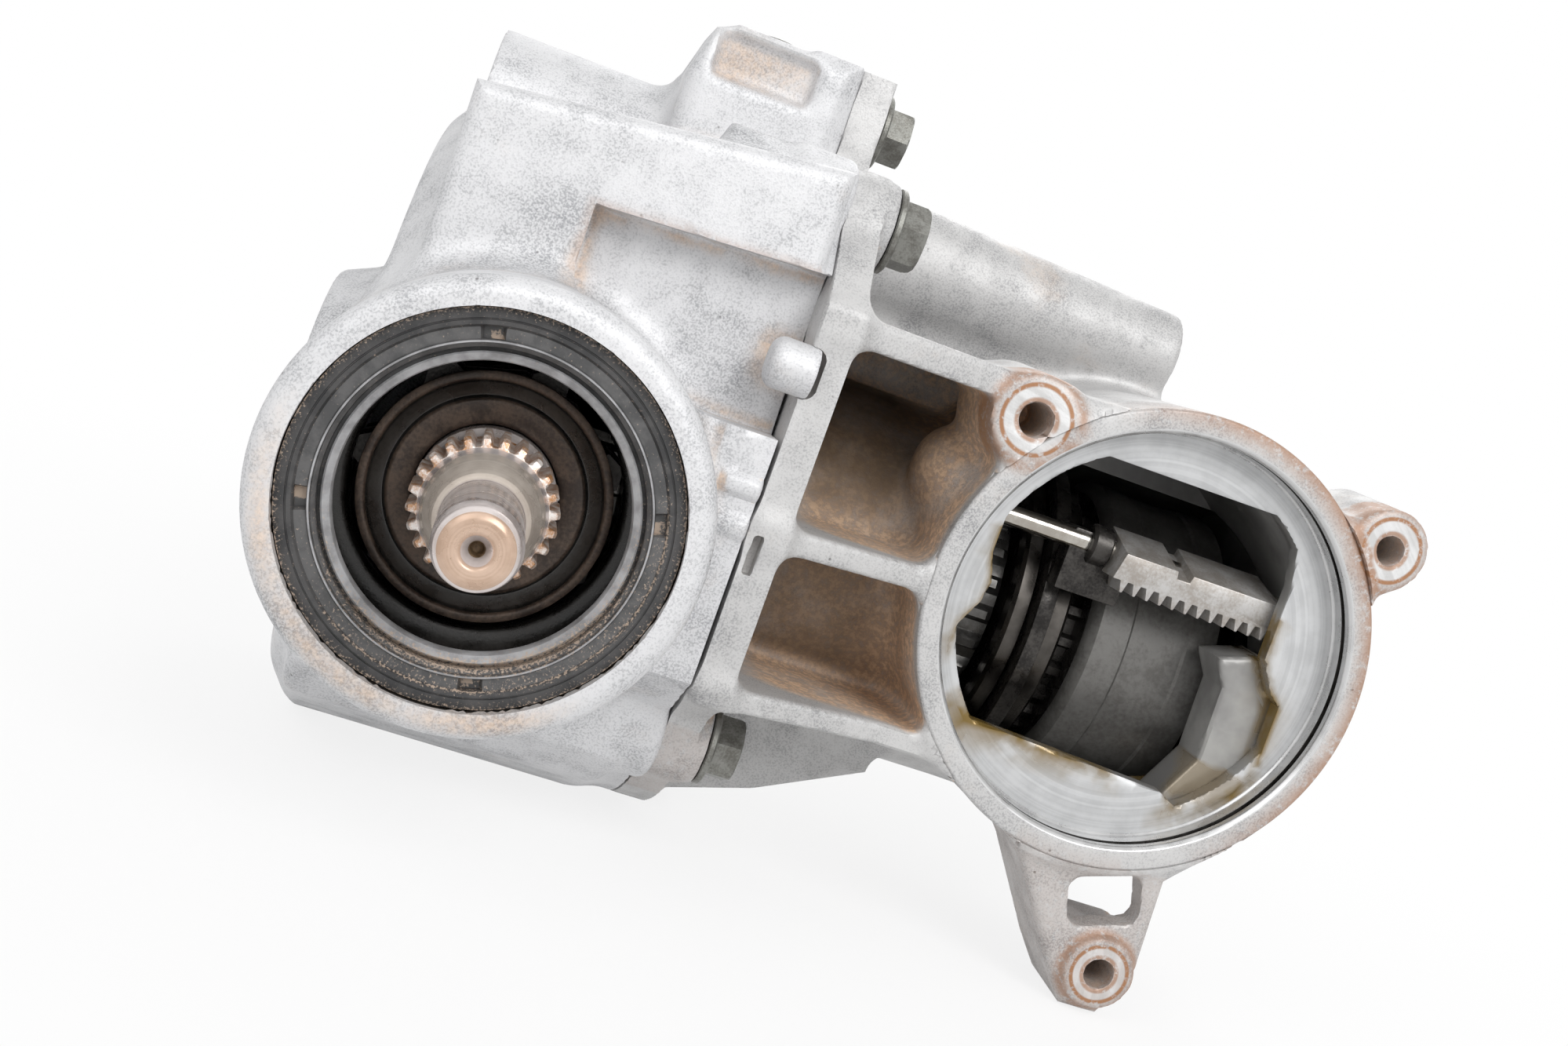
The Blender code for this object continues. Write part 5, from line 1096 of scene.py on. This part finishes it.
def makeSeal():
    shape = sealShape
    half, lip, width, sides = shape["outside"], shape["lip"], shape["width"], shape["sides"]
    bandOut, bandIn = shape["band"]
    angle = 360.0 * np.arange(sides) / sides
    offs = [np.abs((angle - middle + 180.0) % 360.0 - 180.0) for middle in shape["notchAngles"]]
    notch = (np.min(offs, 0) < shape["notchHalf"]) * shape["notchDepth"]
    rings = [(half, 0.7), (half, width), (half - 2.4, width), (half - 2.4, 4.4), (lip + 3.6, 4.4),
             (lip + 3.6, 7.4), (lip, 5.4), (lip, 3.4), (lip + 0.2, 2.9), (lip + 1.3, 2.2), (lip + 1.6, 2.5),
             (lip + 1.65, 3.6), (lip + 2.2, 3.7), (lip + 2.3, 2.0), (lip + 2.7, 1.5), (bandIn - 0.55, 1.4),
             (bandIn - 0.5, 0.45), (bandIn - 0.4, 0.3), (bandIn - 0.1, 0.3), (bandIn, 0.5),
             (bandIn + 0.1, 0.75 + notch * 0.2), (bandIn + 0.15, 0.8 + notch), (bandOut - 0.2, 0.8 + notch),
             (bandOut - 0.15, 0.75 + notch * 0.2), (bandOut, 0.5), (bandOut + 0.2, 0.3),
             (bandOut + 0.9, 0.25), (bandOut + 1.0, 0.5), (bandOut + 1.15, 0.5), (bandOut + 1.25, 0.25),
             (half - 0.4, 0.2), (half - 0.1, 0.35)]
    mesh = ringMesh("pinion_seal_rubber", [(rings, "y", pinionPlace, sides)])
    points, _ = localArrays(mesh)
    x, y, z = points.T
    radius = np.hypot(x, z)
    low = np.clip(0.35 - (z - 0.35 * x) / radius, 0.0, 1.35) / 1.35
    onLip = np.exp(-((radius - lip - 1.9) / 1.4) ** 2)
    turn = np.degrees(np.arctan2(z, x))
    signed = [(turn - middle + 180.0) % 360.0 - 180.0 for middle in shape["notchAngles"]]
    dustySide = np.any([(off < 0.6) & (off > -shape["notchHalf"] - 0.5) for off in signed], 0)
    notchEnd = np.where(x < -20.0, bandOut, bandIn + 1.2)
    inNotch = (y > 1.2) & (radius > bandIn) & dustySide & (radius < notchEnd)
    seam = np.exp(-((radius - bandOut) / 0.22) ** 2) * np.clip((x - 1.4 * z) / 20.0, 0.15, 1.0)
    edge = np.exp(-((radius - half) / 0.5) ** 2)
    dust = np.clip(0.85 * low * onLip + 1.5 * inNotch + 0.8 * edge + 0.8 * seam + 0.1, 0.0, 1.5)
    putValues(mesh, "dust", dust)
    middle = faceMiddles(mesh)
    distance = np.hypot(middle[:, 0], middle[:, 2])
    pale = (distance < lip + 1.6) | (np.abs(distance - bandIn + 0.25) < 0.16)
    finish = np.where(pale, 1, np.where(distance > bandOut - 0.18, 2, 0))
    setFinish(mesh, finish)
    placePiece("pinion_seal_rubber", mesh, "housing",
               [looks["sealRubber"], looks["sealLip"], looks["sealEdge"]], ["pinion_seal"])
    turns = 2 * np.pi * np.arange(12) / 12
    wire = [(lip + 4.85 + 0.7 * math.cos(t), 5.3 + 0.7 * math.sin(t)) for t in turns]
    mesh = ringMesh("seal_garter_spring", [(wire, "y", pinionPlace, 96)])
    placePiece("seal_garter_spring", mesh, "housing", [looks["steel"]], ["seal_spring"])


def makeLiner():
    # the neck's oily wall between the seal and the front bearing, stepped like the bored casting; near black,
    # it is partly painted shade deep in the bore
    wall = [(29.0, 9.9), (28.2, 9.9), (28.2, 13.6), (27.6, 14.2), (27.6, 18.2), (27.0, 18.8), (24.4, 18.9),
            (23.7, 19.3), (23.4, 20.0), (23.4, 23.3), (29.0, 23.3)]
    mesh = ringMesh("neck_bore_shade_wall", [(wall, "y", pinionPlace, 192)])
    placePiece(mesh.name, mesh, "housing", [looks["oilyShadeBlack"]])


makeSeal()
makeLiner()

# Drive pinion: nose, spline, journal and bevel teeth in one piece.
pinionShape = dict(
    noseEnd=-34.5, noseRadius=6.75, splineRadius=12.3, splineDepth=1.75, splineTeeth=24, splineEnd=12.0,
    journal=12.0, tail=46.3, teeth=11, ringTeeth=41, ringPitch=56.0, face=15.0, sides=264)


def makePinion():
    shape = pinionShape
    nose, end, journal, sides = shape["noseRadius"], shape["noseEnd"], shape["journal"], shape["sides"]
    shaft = [(0.0, end + 4.6), (0.9, end + 4.2), (1.1, end + 2.4), (2.4, end + 0.3), (2.8, end), (4.6, end),
             (5.5, end + 0.5), (6.2, end + 1.6), (nose, end + 4.2), (nose, end + 13.0),
             (nose - 0.12, end + 13.2), (nose - 0.12, -10.2), (nose + 0.2, -9.8), (nose + 0.9, -9.2),
             (nose + 2.5, -5.2), (nose + 2.9, -3.2), (9.9, -2.5), (10.3, -0.4)]
    rings = roundCorners(shaft, 0.25, 2)[:-2]
    root, tip = shape["splineRadius"] - shape["splineDepth"], shape["splineRadius"]
    teeth = [toothRadii(sides, shape["splineTeeth"], root, most, 0.36, 0.17)
             for most in (root + 0.3, tip - 0.5, tip)]
    rings += [(root - 0.1, -0.1), (teeth[0], 0.0), (teeth[1], 0.4), (teeth[2], 1.2),
              (teeth[2], shape["splineEnd"] - 1.2), (teeth[0], shape["splineEnd"])]
    rings += [(journal - 1.2, shape["splineEnd"] + 0.4), (journal, shape["splineEnd"] + 1.4),
              (journal, shape["tail"] + 0.8)]
    cone = math.atan2(shape["teeth"], shape["ringTeeth"])
    length = shape["ringPitch"] / math.cos(cone)
    module = 2 * shape["ringPitch"] / shape["ringTeeth"]
    rings.append((14.0, shape["tail"] + fitGap))
    for reach, inner in ((length, False), (length - shape["face"], True)):
        scale = reach / length
        pitchRadius = reach * math.sin(cone)
        radii = toothRadii(sides, shape["teeth"], pitchRadius - module * scale,
                           pitchRadius + 0.68 * module * scale, 0.312, 0.098)
        rings.append((radii, axleY - reach * math.cos(cone)))
        if inner:
            rings.append((3.0, axleY - reach * math.cos(cone)))
            rings.append((0.0, axleY - reach * math.cos(cone)))
    mesh = ringMesh("drive_pinion_shaft", [(rings, "y", pinionPlace, sides)], 30)
    middle = faceMiddles(mesh)
    finish = np.zeros(len(middle), np.int32)
    finish[(middle[:, 1] > -0.2) & (middle[:, 1] < shape["splineEnd"] + 0.5)] = 1
    radius = np.hypot(middle[:, 0], middle[:, 2])
    finish[(middle[:, 1] < end + 1.0) & (radius < 5.6)] = 2
    finish[(middle[:, 1] < end + 5.0) & (radius < 1.5)] = 3
    finish[(middle[:, 1] > -9.9) & (middle[:, 1] < -2.6) & (radius > nose)] = 4
    setFinish(mesh, finish)
    placePiece("drive_pinion_shaft", mesh, "pinion_line",
               [looks[name] for name in ("noseSteel", "splineSteel", "noseEnd", "noseBrown", "noseCollar")],
               ["drive_pinion"])
    slinger = [(21.5, 15.2), (21.5, 16.6), (17.6, 19.4), (17.0, 23.7), (12.3, 23.7), (12.3, 17.2),
               (12.9, 16.8), (16.4, 16.4), (17.0, 17.0), (17.2, 17.6), (19.6, 16.6), (19.9, 15.4),
               (20.3, 15.1)]
    mesh = ringMesh("oil_slinger_plate", [(roundCorners(slinger, 0.3, 2), "y", pinionPlace, 128)])
    middle = faceMiddles(mesh)
    radius = np.hypot(middle[:, 0], middle[:, 2])
    # the slinger's groove takes the near-black finish, partly painted shade
    setFinish(mesh, (radius > 16.8) & (radius < 19.8))
    placePiece("oil_slinger_plate", mesh, "pinion_line",
               [looks["brownSteel"], looks["oilyShadeBlack"]],
               ["oil_slinger"])


looks["noseSteel"] = turnedLook("noseSteel", pinionPlace, (0.72, 0.66, 0.64), (0.46, 0.39, 0.36), 0.6, 350.0,
                                flat=(0, 1, 0))
looks["noseEnd"] = turnedLook("noseEnd", pinionPlace, (0.6, 0.44, 0.34), (0.4, 0.27, 0.19), 0.35, 500.0,
                              flat=(1, 0, 1))
looks["noseCollar"] = turnedLook("noseCollar", pinionPlace, (0.56, 0.5, 0.44), (0.4, 0.34, 0.29), 0.4, 350.0,
                                 flat=(0, 1, 0))
looks["noseBrown"] = oilyLook("noseBrown", (0.24, 0.16, 0.09), (0.08, 0.05, 0.025), 0.3, 0.4, 0.6)
makePinion()
print("pinion line made")

# Flange bolts: hex head, pressed washer and shank.
boltShape = dict(shank=4.0, tip=33.0, seat=57.6, washer=8.5, washerThick=1.6, flats=12.0, head=5.5)


def makeBolt(index, boltY, boltZ):
    shape = boltShape
    seat = shape["seat"]
    top = seat + shape["washerThick"]
    sides = 96
    flats = shape["flats"]
    full = flats / math.sqrt(3)
    rim, shoulder, crown = [np.roll(hexRadii(sides, flats, full * share), index * 5)
                            for share in (1.0, 0.955, 0.9)]
    rings = [(0.0, shape["tip"]), (shape["shank"] - 0.8, shape["tip"]), (shape["shank"], shape["tip"] + 0.8),
             (shape["shank"], seat), (shape["washer"] - 0.3, seat), (shape["washer"], seat + 0.3),
             (shape["washer"], top - 0.5), (shape["washer"] - 0.5, top - 0.1), (full + 0.5, top),
             (rim, top + 0.05), (rim, top + shape["head"] - 1.1), (shoulder, top + shape["head"] - 0.45),
             (crown, top + shape["head"] - 0.1),
             (flats / 2 - 0.5, top + shape["head"]), (0.0, top + shape["head"])]
    mesh = ringMesh(f"flange_bolt_{index}_steel", [(rings, "x", (0.0, boltY, boltZ), sides)], 28)
    placePiece(mesh.name, mesh, "housing", [looks["boltSteel"]], [f"flange_bolt_{index}"])


for number, (boltY, boltZ) in enumerate(bolts, 1):
    makeBolt(number, boltY, boltZ)

# Plugs, breather and the two axle seals.
smallShape = dict(fill=(24.0, 0.0, 26.0), fillFace=171.0, drain=(8.0, 112.0, 0.0), drainTop=-63.8,
                  breather=(30.0, 104.0, 0.0), humpTop=99.0,
                  axleSeals=[("left", 17.5, 13.0, -41.8, 1), ("right", 21.5, 13.3, 187.8, -1)])


def makeSmallPieces():
    shape = smallShape
    face = shape["fillFace"]
    sides = 96
    socket = hexRadii(sides, 8.6, 9.0)
    head = [(0.0, face - 10.0), (7.4, face - 10.0), (8.0, face - 9.4), (8.0, face + 0.3), (10.6, face + 0.3),
            (11.0, face + 0.7), (11.0, face + 4.2), (10.2, face + 5.0), (socket, face + 5.0),
            (socket, face - 0.6), (0.0, face - 0.6)]
    mesh = ringMesh("fill_plug_steel", [(head, "y", shape["fill"], sides)])
    placePiece(mesh.name, mesh, "housing", [looks["boltSteel"]], ["fill_plug"])
    top = shape["drainTop"]
    drain = [(0.0, top + 4.2), (6.4, top + 4.2), (7.0, top + 3.6), (7.0, top), (10.2, top), (10.5, top - 0.4),
             (10.5, top - 3.0), (9.9, top - 3.6), (socket, top - 3.6), (socket, top - 0.8), (0.0, top - 0.8)]
    mesh = ringMesh("drain_plug_steel", [(drain, "z", shape["drain"], sides)])
    placePiece(mesh.name, mesh, "housing", [looks["boltSteel"]], ["drain_plug"])
    level = shape["humpTop"]
    vent = [(0.0, level - 8.0), (3.0, level - 8.0), (3.0, level + 0.3), (4.3, level + 0.3),
            (4.5, level + 0.5), (4.5, level + 1.2), (4.0, level + 1.55), (0.0, level + 1.6)]
    mesh = ringMesh("breather_cap", [(roundCorners(vent, 0.3, 2), "z", shape["breather"], 64)])
    placePiece(mesh.name, mesh, "housing", [looks["boltSteel"]], ["breather"])
    for label, outside, bore, start, way in shape["axleSeals"]:
        end = start + way * 6.0
        outline = [(outside, start + way * 0.3), (outside, end), (outside - 1.6, end),
                   (outside - 1.6, start + way * 2.0), (bore + 2.0, start + way * 2.0),
                   (bore + 2.0, end - way), (bore, end - way * 2.0), (bore, start + way),
                   (bore + 1.0, start), (outside - 0.5, start)]
        mesh = ringMesh(f"{label}_axle_seal_rubber", [(roundCorners(outline, 0.25, 2), "x", axlePlace, 96)])
        placePiece(mesh.name, mesh, "housing", [looks["sealRubber"]], [f"{label}_axle_seal"])


makeSmallPieces()
print("fasteners made")

# Clutch: gear, sleeve, output drum, fork and rack.
clutchShape = dict(
    teeth=24, gearLeft=103.0, gearRight=112.0, gearRadius=27.2, toothDepth=2.2, gearBore=8.9,
    sleeveLeft=113.0, sleeveRight=126.0, sleeveRadius=33.0, toothStart=121.0,
    grooveStart=117.0, grooveEnd=121.6, grooveRadius=29.2,
    hubLeft=114.0, drumLeft=131.0, drumRight=163.0, drumRadius=34.0,
    journal=13.0, shaftEnd=187.0, shaftBore=8.6)


def makeClutch():
    shape = clutchShape
    sides = shape["teeth"] * 16
    tip, root = shape["gearRadius"], shape["gearRadius"] - shape["toothDepth"]
    start, full, end = [toothRadii(sides, shape["teeth"], root, most, 0.28, 0.15)
                        for most in (root + 0.6, tip, root + 0.4)]
    left, right, bore = shape["gearLeft"], shape["gearRight"], shape["gearBore"]
    gear = [(bore, left + 0.4), (bore + 0.5, left), (root - 5.0, left), (root - 4.0, left + 0.8),
            (root - 0.5, left + 0.8), (start, left + 1.0), (full, left + 2.0), (full, right - 1.6),
            (end, right), (root - 0.6, right), (bore + 0.5, right),
            (bore, right - 0.4)]
    mesh = ringMesh("clutch_gear_steel", [(gear, "x", axlePlace, sides)])
    placePiece(mesh.name, mesh, "right_side", [looks["gearSteel"]], ["clutch_gear"])
    left, right, outside = shape["sleeveLeft"], shape["sleeveRight"], shape["sleeveRadius"]
    grooveStart, grooveEnd, groove = shape["grooveStart"], shape["grooveEnd"], shape["grooveRadius"]
    inside = toothRadii(sides, shape["teeth"], 25.5, 27.8, 0.33, 0.24, 0.0)
    sleeve = [(28.0, left + 0.6), (28.6, left), (outside - 0.8, left), (outside, left + 0.8),
              (outside, grooveStart - 0.3), (outside - 0.3, grooveStart), (groove + 0.3, grooveStart),
              (groove, grooveStart + 0.3), (groove, grooveEnd - 0.3), (groove + 0.3, grooveEnd),
              (outside - 0.3, grooveEnd), (outside, grooveEnd + 0.3), (outside, right - 0.8),
              (outside - 0.8, right), (28.4, right), (inside, right - 0.4), (inside, shape["toothStart"]),
              (28.0, shape["toothStart"] - 0.1)]
    mesh = ringMesh("shift_sleeve_steel", [(sleeve, "x", axlePlace, sides)])
    placePiece(mesh.name, mesh, "sleeve_line", [looks["sleeveSteel"]], ["shift_sleeve"])
    hubLeft, drumLeft, drumRight = shape["hubLeft"], shape["drumLeft"], shape["drumRight"]
    drum, journal = shape["drumRadius"], shape["journal"]
    end, shaftBore = shape["shaftEnd"], shape["shaftBore"]
    start, full = [toothRadii(sides, shape["teeth"], root, most, 0.21, 0.13) for most in (root + 0.5, tip)]
    output = [(0.0, hubLeft), (root - 1.0, hubLeft), (root - 0.1, hubLeft + 0.4), (start, hubLeft + 0.5),
              (full, hubLeft + 1.4), (full, drumLeft - 0.2), (drum - 3.0, drumLeft),
              (drum - 1.2, drumLeft + 0.6), (drum, drumLeft + 2.0), (drum, drumLeft + 9.0),
              (drum - 0.5, drumLeft + 9.6), (drum - 0.5, drumRight - 10.0), (drum, drumRight - 9.4),
              (drum, drumRight - 3.0), (28.0, drumRight), (journal + 4.0, drumRight + 3.4),
              (journal + 1.0, drumRight + 4.4), (journal, drumRight + 6.0), (journal, end - 0.8),
              (journal - 0.8, end), (shaftBore + 0.8, end), (shaftBore, end - 0.8), (shaftBore, 150.0),
              (0.0, 148.2)]
    mesh = ringMesh("output_shaft_drum", [(output, "x", axlePlace, sides)])
    middle = faceMiddles(mesh)
    steelPart = (middle[:, 0] < drumLeft + 0.2) | (middle[:, 0] > drumRight + 4.0)
    setFinish(mesh, steelPart)
    placePiece(mesh.name, mesh, "output_line", [looks["drumCast"], looks["darkSteel"]],
               ["output_shaft"])


looks["sleeveSteel"] = turnedLook("sleeveSteel", axlePlace, (0.13, 0.12, 0.11), (0.06, 0.055, 0.05), 1.0,
                                  500.0, flat=(0, 1, 1))
looks["gearSteel"] = oilyLook("gearSteel", (0.13, 0.127, 0.122), (0.07, 0.067, 0.063), 0.8, 0.25, 0.4, 90.0)
looks["drumCast"] = oilyLook("drumCast", (0.17, 0.166, 0.158), (0.11, 0.105, 0.098), 0.4, 0.3, 0.5, 120.0)
makeClutch()

rackShape = dict(
    left=126.0, length=40.0, front=57.2, depth=13.3, top=27.8, height=9.4, teeth=12, tooth=2.4,
    slant=3.8, collar=4.3, barRadius=2.3, barY=66.0, barZ=23.0, barLeft=93.5, barRight=173.5,
    forkMiddle=119.3, forkHalf=1.8, yokeInner=29.8, yokeOuter=36.8)


def makeRack():
    shape = rackShape
    left, right, front = shape["left"], shape["left"] + shape["length"], shape["front"]
    back = front + shape["depth"]
    top, root = shape["top"], shape["top"] - shape["height"]
    pitch = shape["length"] / (shape["teeth"] + 1.5)
    outline = [(right, top - 5.2), (right - 4.0, top), (left + 16.5, top), (left + 16.2, top - 1.6),
               (left + 13.3, top - 1.6), (left + 13.0, top), (left + 1.2, top), (left, root)]
    for index in range(shape["teeth"]):
        start = left + pitch * (index + 0.9)
        outline += [(start - pitch * 0.3, root), (start - pitch * 0.1, root - shape["tooth"]),
                    (start + pitch * 0.1, root - shape["tooth"]), (start + pitch * 0.3, root)]
    outline.append((right, root))
    mesh = slabMesh("shift_rack_bar", [(outline, "y", front, back)], 0.2,
                    slant=(front, top - 2.0, shape["slant"]))
    placePiece(mesh.name, mesh, "shift_line", [looks["rackSteel"]], ["shift_rack"])
    middle, half = shape["forkMiddle"], shape["forkHalf"]
    sweep = np.radians(np.linspace(110.0, 250.0, 36))
    outer, inner = shape["yokeOuter"], shape["yokeInner"]
    yoke = [(axleY + outer * math.cos(t), outer * math.sin(t)) for t in sweep]
    yoke += [(axleY + inner * math.cos(t), inner * math.sin(t)) for t in sweep[::-1]]
    neck = [(middle - half, 12.0), (left + 5.8, 12.0), (left + 5.8, top - 2.4), (middle - half, top - 2.4)]
    mesh = slabMesh("shift_fork_yoke", [(yoke, "x", middle - half, middle + half),
                                        (neck, "y", shape["barY"] - 1.5, back + 0.4)], 0.4)
    placePiece(mesh.name, mesh, "shift_line", [looks["darkSteel"]])
    collar, barRadius = shape["collar"], shape["barRadius"]
    barLeft, barRight = shape["barLeft"], shape["barRight"]
    gap = barRadius + 0.1
    rings = [(gap, left - 4.6), (collar - 0.6, left - 4.6), (collar, left - 4.0), (collar, left - 0.5),
             (collar - 0.4, left - 0.1), (gap, left - 0.1)]
    mesh = ringMesh("fork_hub_collar", [(rings, "x", (0.0, shape["barY"], shape["barZ"]), 64)])
    placePiece(mesh.name, mesh, "shift_line", [looks["darkSteel"]])
    bar = [(0.0, barLeft), (barRadius - 0.4, barLeft), (barRadius, barLeft + 0.4),
           (barRadius, barRight - 0.4), (barRadius - 0.4, barRight), (0.0, barRight)]
    mesh = ringMesh("guide_bar_rod", [(bar, "x", (0.0, shape["barY"], shape["barZ"]), 40)])
    placePiece(mesh.name, mesh, "housing", [looks["polished"]], ["guide_bar"])


makeRack()
print("clutch and fork made")

# The solids inside keep their CAD shape and get a finish.
for nodeName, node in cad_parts.items():
    if node.hide_render:
        continue
    look = looks["steel"]
    if nodeName == "carrier":
        look = looks["drumCast"]
    elif "race" in nodeName or "cage" in nodeName:
        look = looks["darkSteel"]
    node.data.materials.clear()
    node.data.materials.append(look)

# Camera, floor and lights.
viewSettings = dict(
    place=(-7.11, -275.61, 44.8), right=(0.930344, -0.143232, 0.337557), up=(-0.313642, 0.166084, 0.934904),
    lens=36.0 * 2200.0 / 1999.0)


def addCamera():
    camera = bpy.data.objects.new("camera", bpy.data.cameras.new("camera"))
    bpy.context.scene.collection.objects.link(camera)
    right, up = Vector(viewSettings["right"]), Vector(viewSettings["up"])
    turn = Matrix((right, up, right.cross(up))).transposed()
    camera.matrix_world = Matrix.Translation(toWorld(viewSettings["place"])) @ turn.to_4x4()
    camera.data.sensor_width = 36.0
    camera.data.lens = viewSettings["lens"]
    camera.data.clip_start = 0.01
    camera.data.clip_end = 50.0
    bpy.context.scene.camera = camera


def addFloor():
    mesh = bpy.data.meshes.new("studio_floor")
    reach = 8.0
    mesh.from_pydata([(-reach, -reach, -0.0002), (reach, -reach, -0.0002), (reach, reach, -0.0002),
                      (-reach, reach, -0.0002)], [], [(0, 1, 2, 3)])
    floor = bpy.data.objects.new("studio_floor", mesh)
    bpy.context.scene.collection.objects.link(floor)
    look = bpy.data.materials.new("floorPaper")
    look.use_nodes = True
    tree = look.node_tree
    shader = tree.nodes["Principled BSDF"]
    shader.inputs["Base Color"].default_value = (0.86, 0.86, 0.86, 1)
    shader.inputs["Roughness"].default_value = 0.9
    # seen directly, the paper is plain white away from the object and keeps a share of its shadow near it
    path = tree.nodes.new("ShaderNodeLightPath").outputs
    spot = tree.nodes.new("ShaderNodeTexCoord").outputs["Object"]
    away = makeNode(tree, "ShaderNodeVectorMath", {"operation": "LENGTH"}, i0=spot).outputs["Value"]
    glow = makeNode(tree, "ShaderNodeEmission", None, Color=(1, 1, 1, 1), Strength=1.0)
    seen = sums(tree, "MAXIMUM", path["Is Camera Ray"], path["Is Glossy Ray"])
    share = sums(tree, "MULTIPLY", seen, span(tree, away, 0.1, 0.4, 0.82, 1.0))
    mix = makeNode(tree, "ShaderNodeMixShader", None, i0=share)
    tree.links.new(shader.outputs["BSDF"], mix.inputs[1])
    tree.links.new(glow.outputs["Emission"], mix.inputs[2])
    tree.links.new(mix.outputs["Shader"], tree.nodes["Material Output"].inputs["Surface"])
    mesh.materials.append(look)


def addWorld():
    world = bpy.data.worlds.new("studio")
    bpy.context.scene.world = world
    world.use_nodes = True
    tree = world.node_tree
    back = tree.nodes["Background"]
    back.inputs["Color"].default_value = (1, 1, 1, 1)
    path = tree.nodes.new("ShaderNodeLightPath").outputs
    seen = sums(tree, "MAXIMUM", path["Is Camera Ray"], path["Is Glossy Ray"])
    tree.links.new(span(tree, seen, 0.0, 1.0, 0.62, 1.0), back.inputs["Strength"])


def addLamp(name, place, aim, size, power):
    lamp = bpy.data.objects.new(name, bpy.data.lights.new(name, "AREA"))
    bpy.context.scene.collection.objects.link(lamp)
    lamp.data.shape = "DISK"
    lamp.data.size = size
    lamp.data.energy = power
    lamp.location = place
    lamp.rotation_mode = "QUATERNION"
    lamp.rotation_quaternion = (Vector(aim) - Vector(place)).to_track_quat("-Z", "Y")


addCamera()
addFloor()
addWorld()
lampSettings = [("key", (0.3, -1.05, 0.85), 0.7, 9.0), ("fill", (-0.8, -0.8, 0.9), 0.8, 3.5),
                ("back", (0.3, 1.0, 0.9), 0.8, 4.0)]
for lampName, place, size, power in lampSettings:
    addLamp(lampName, place, (0.0, 0.0, 0.08), size, power)
print("stage set")
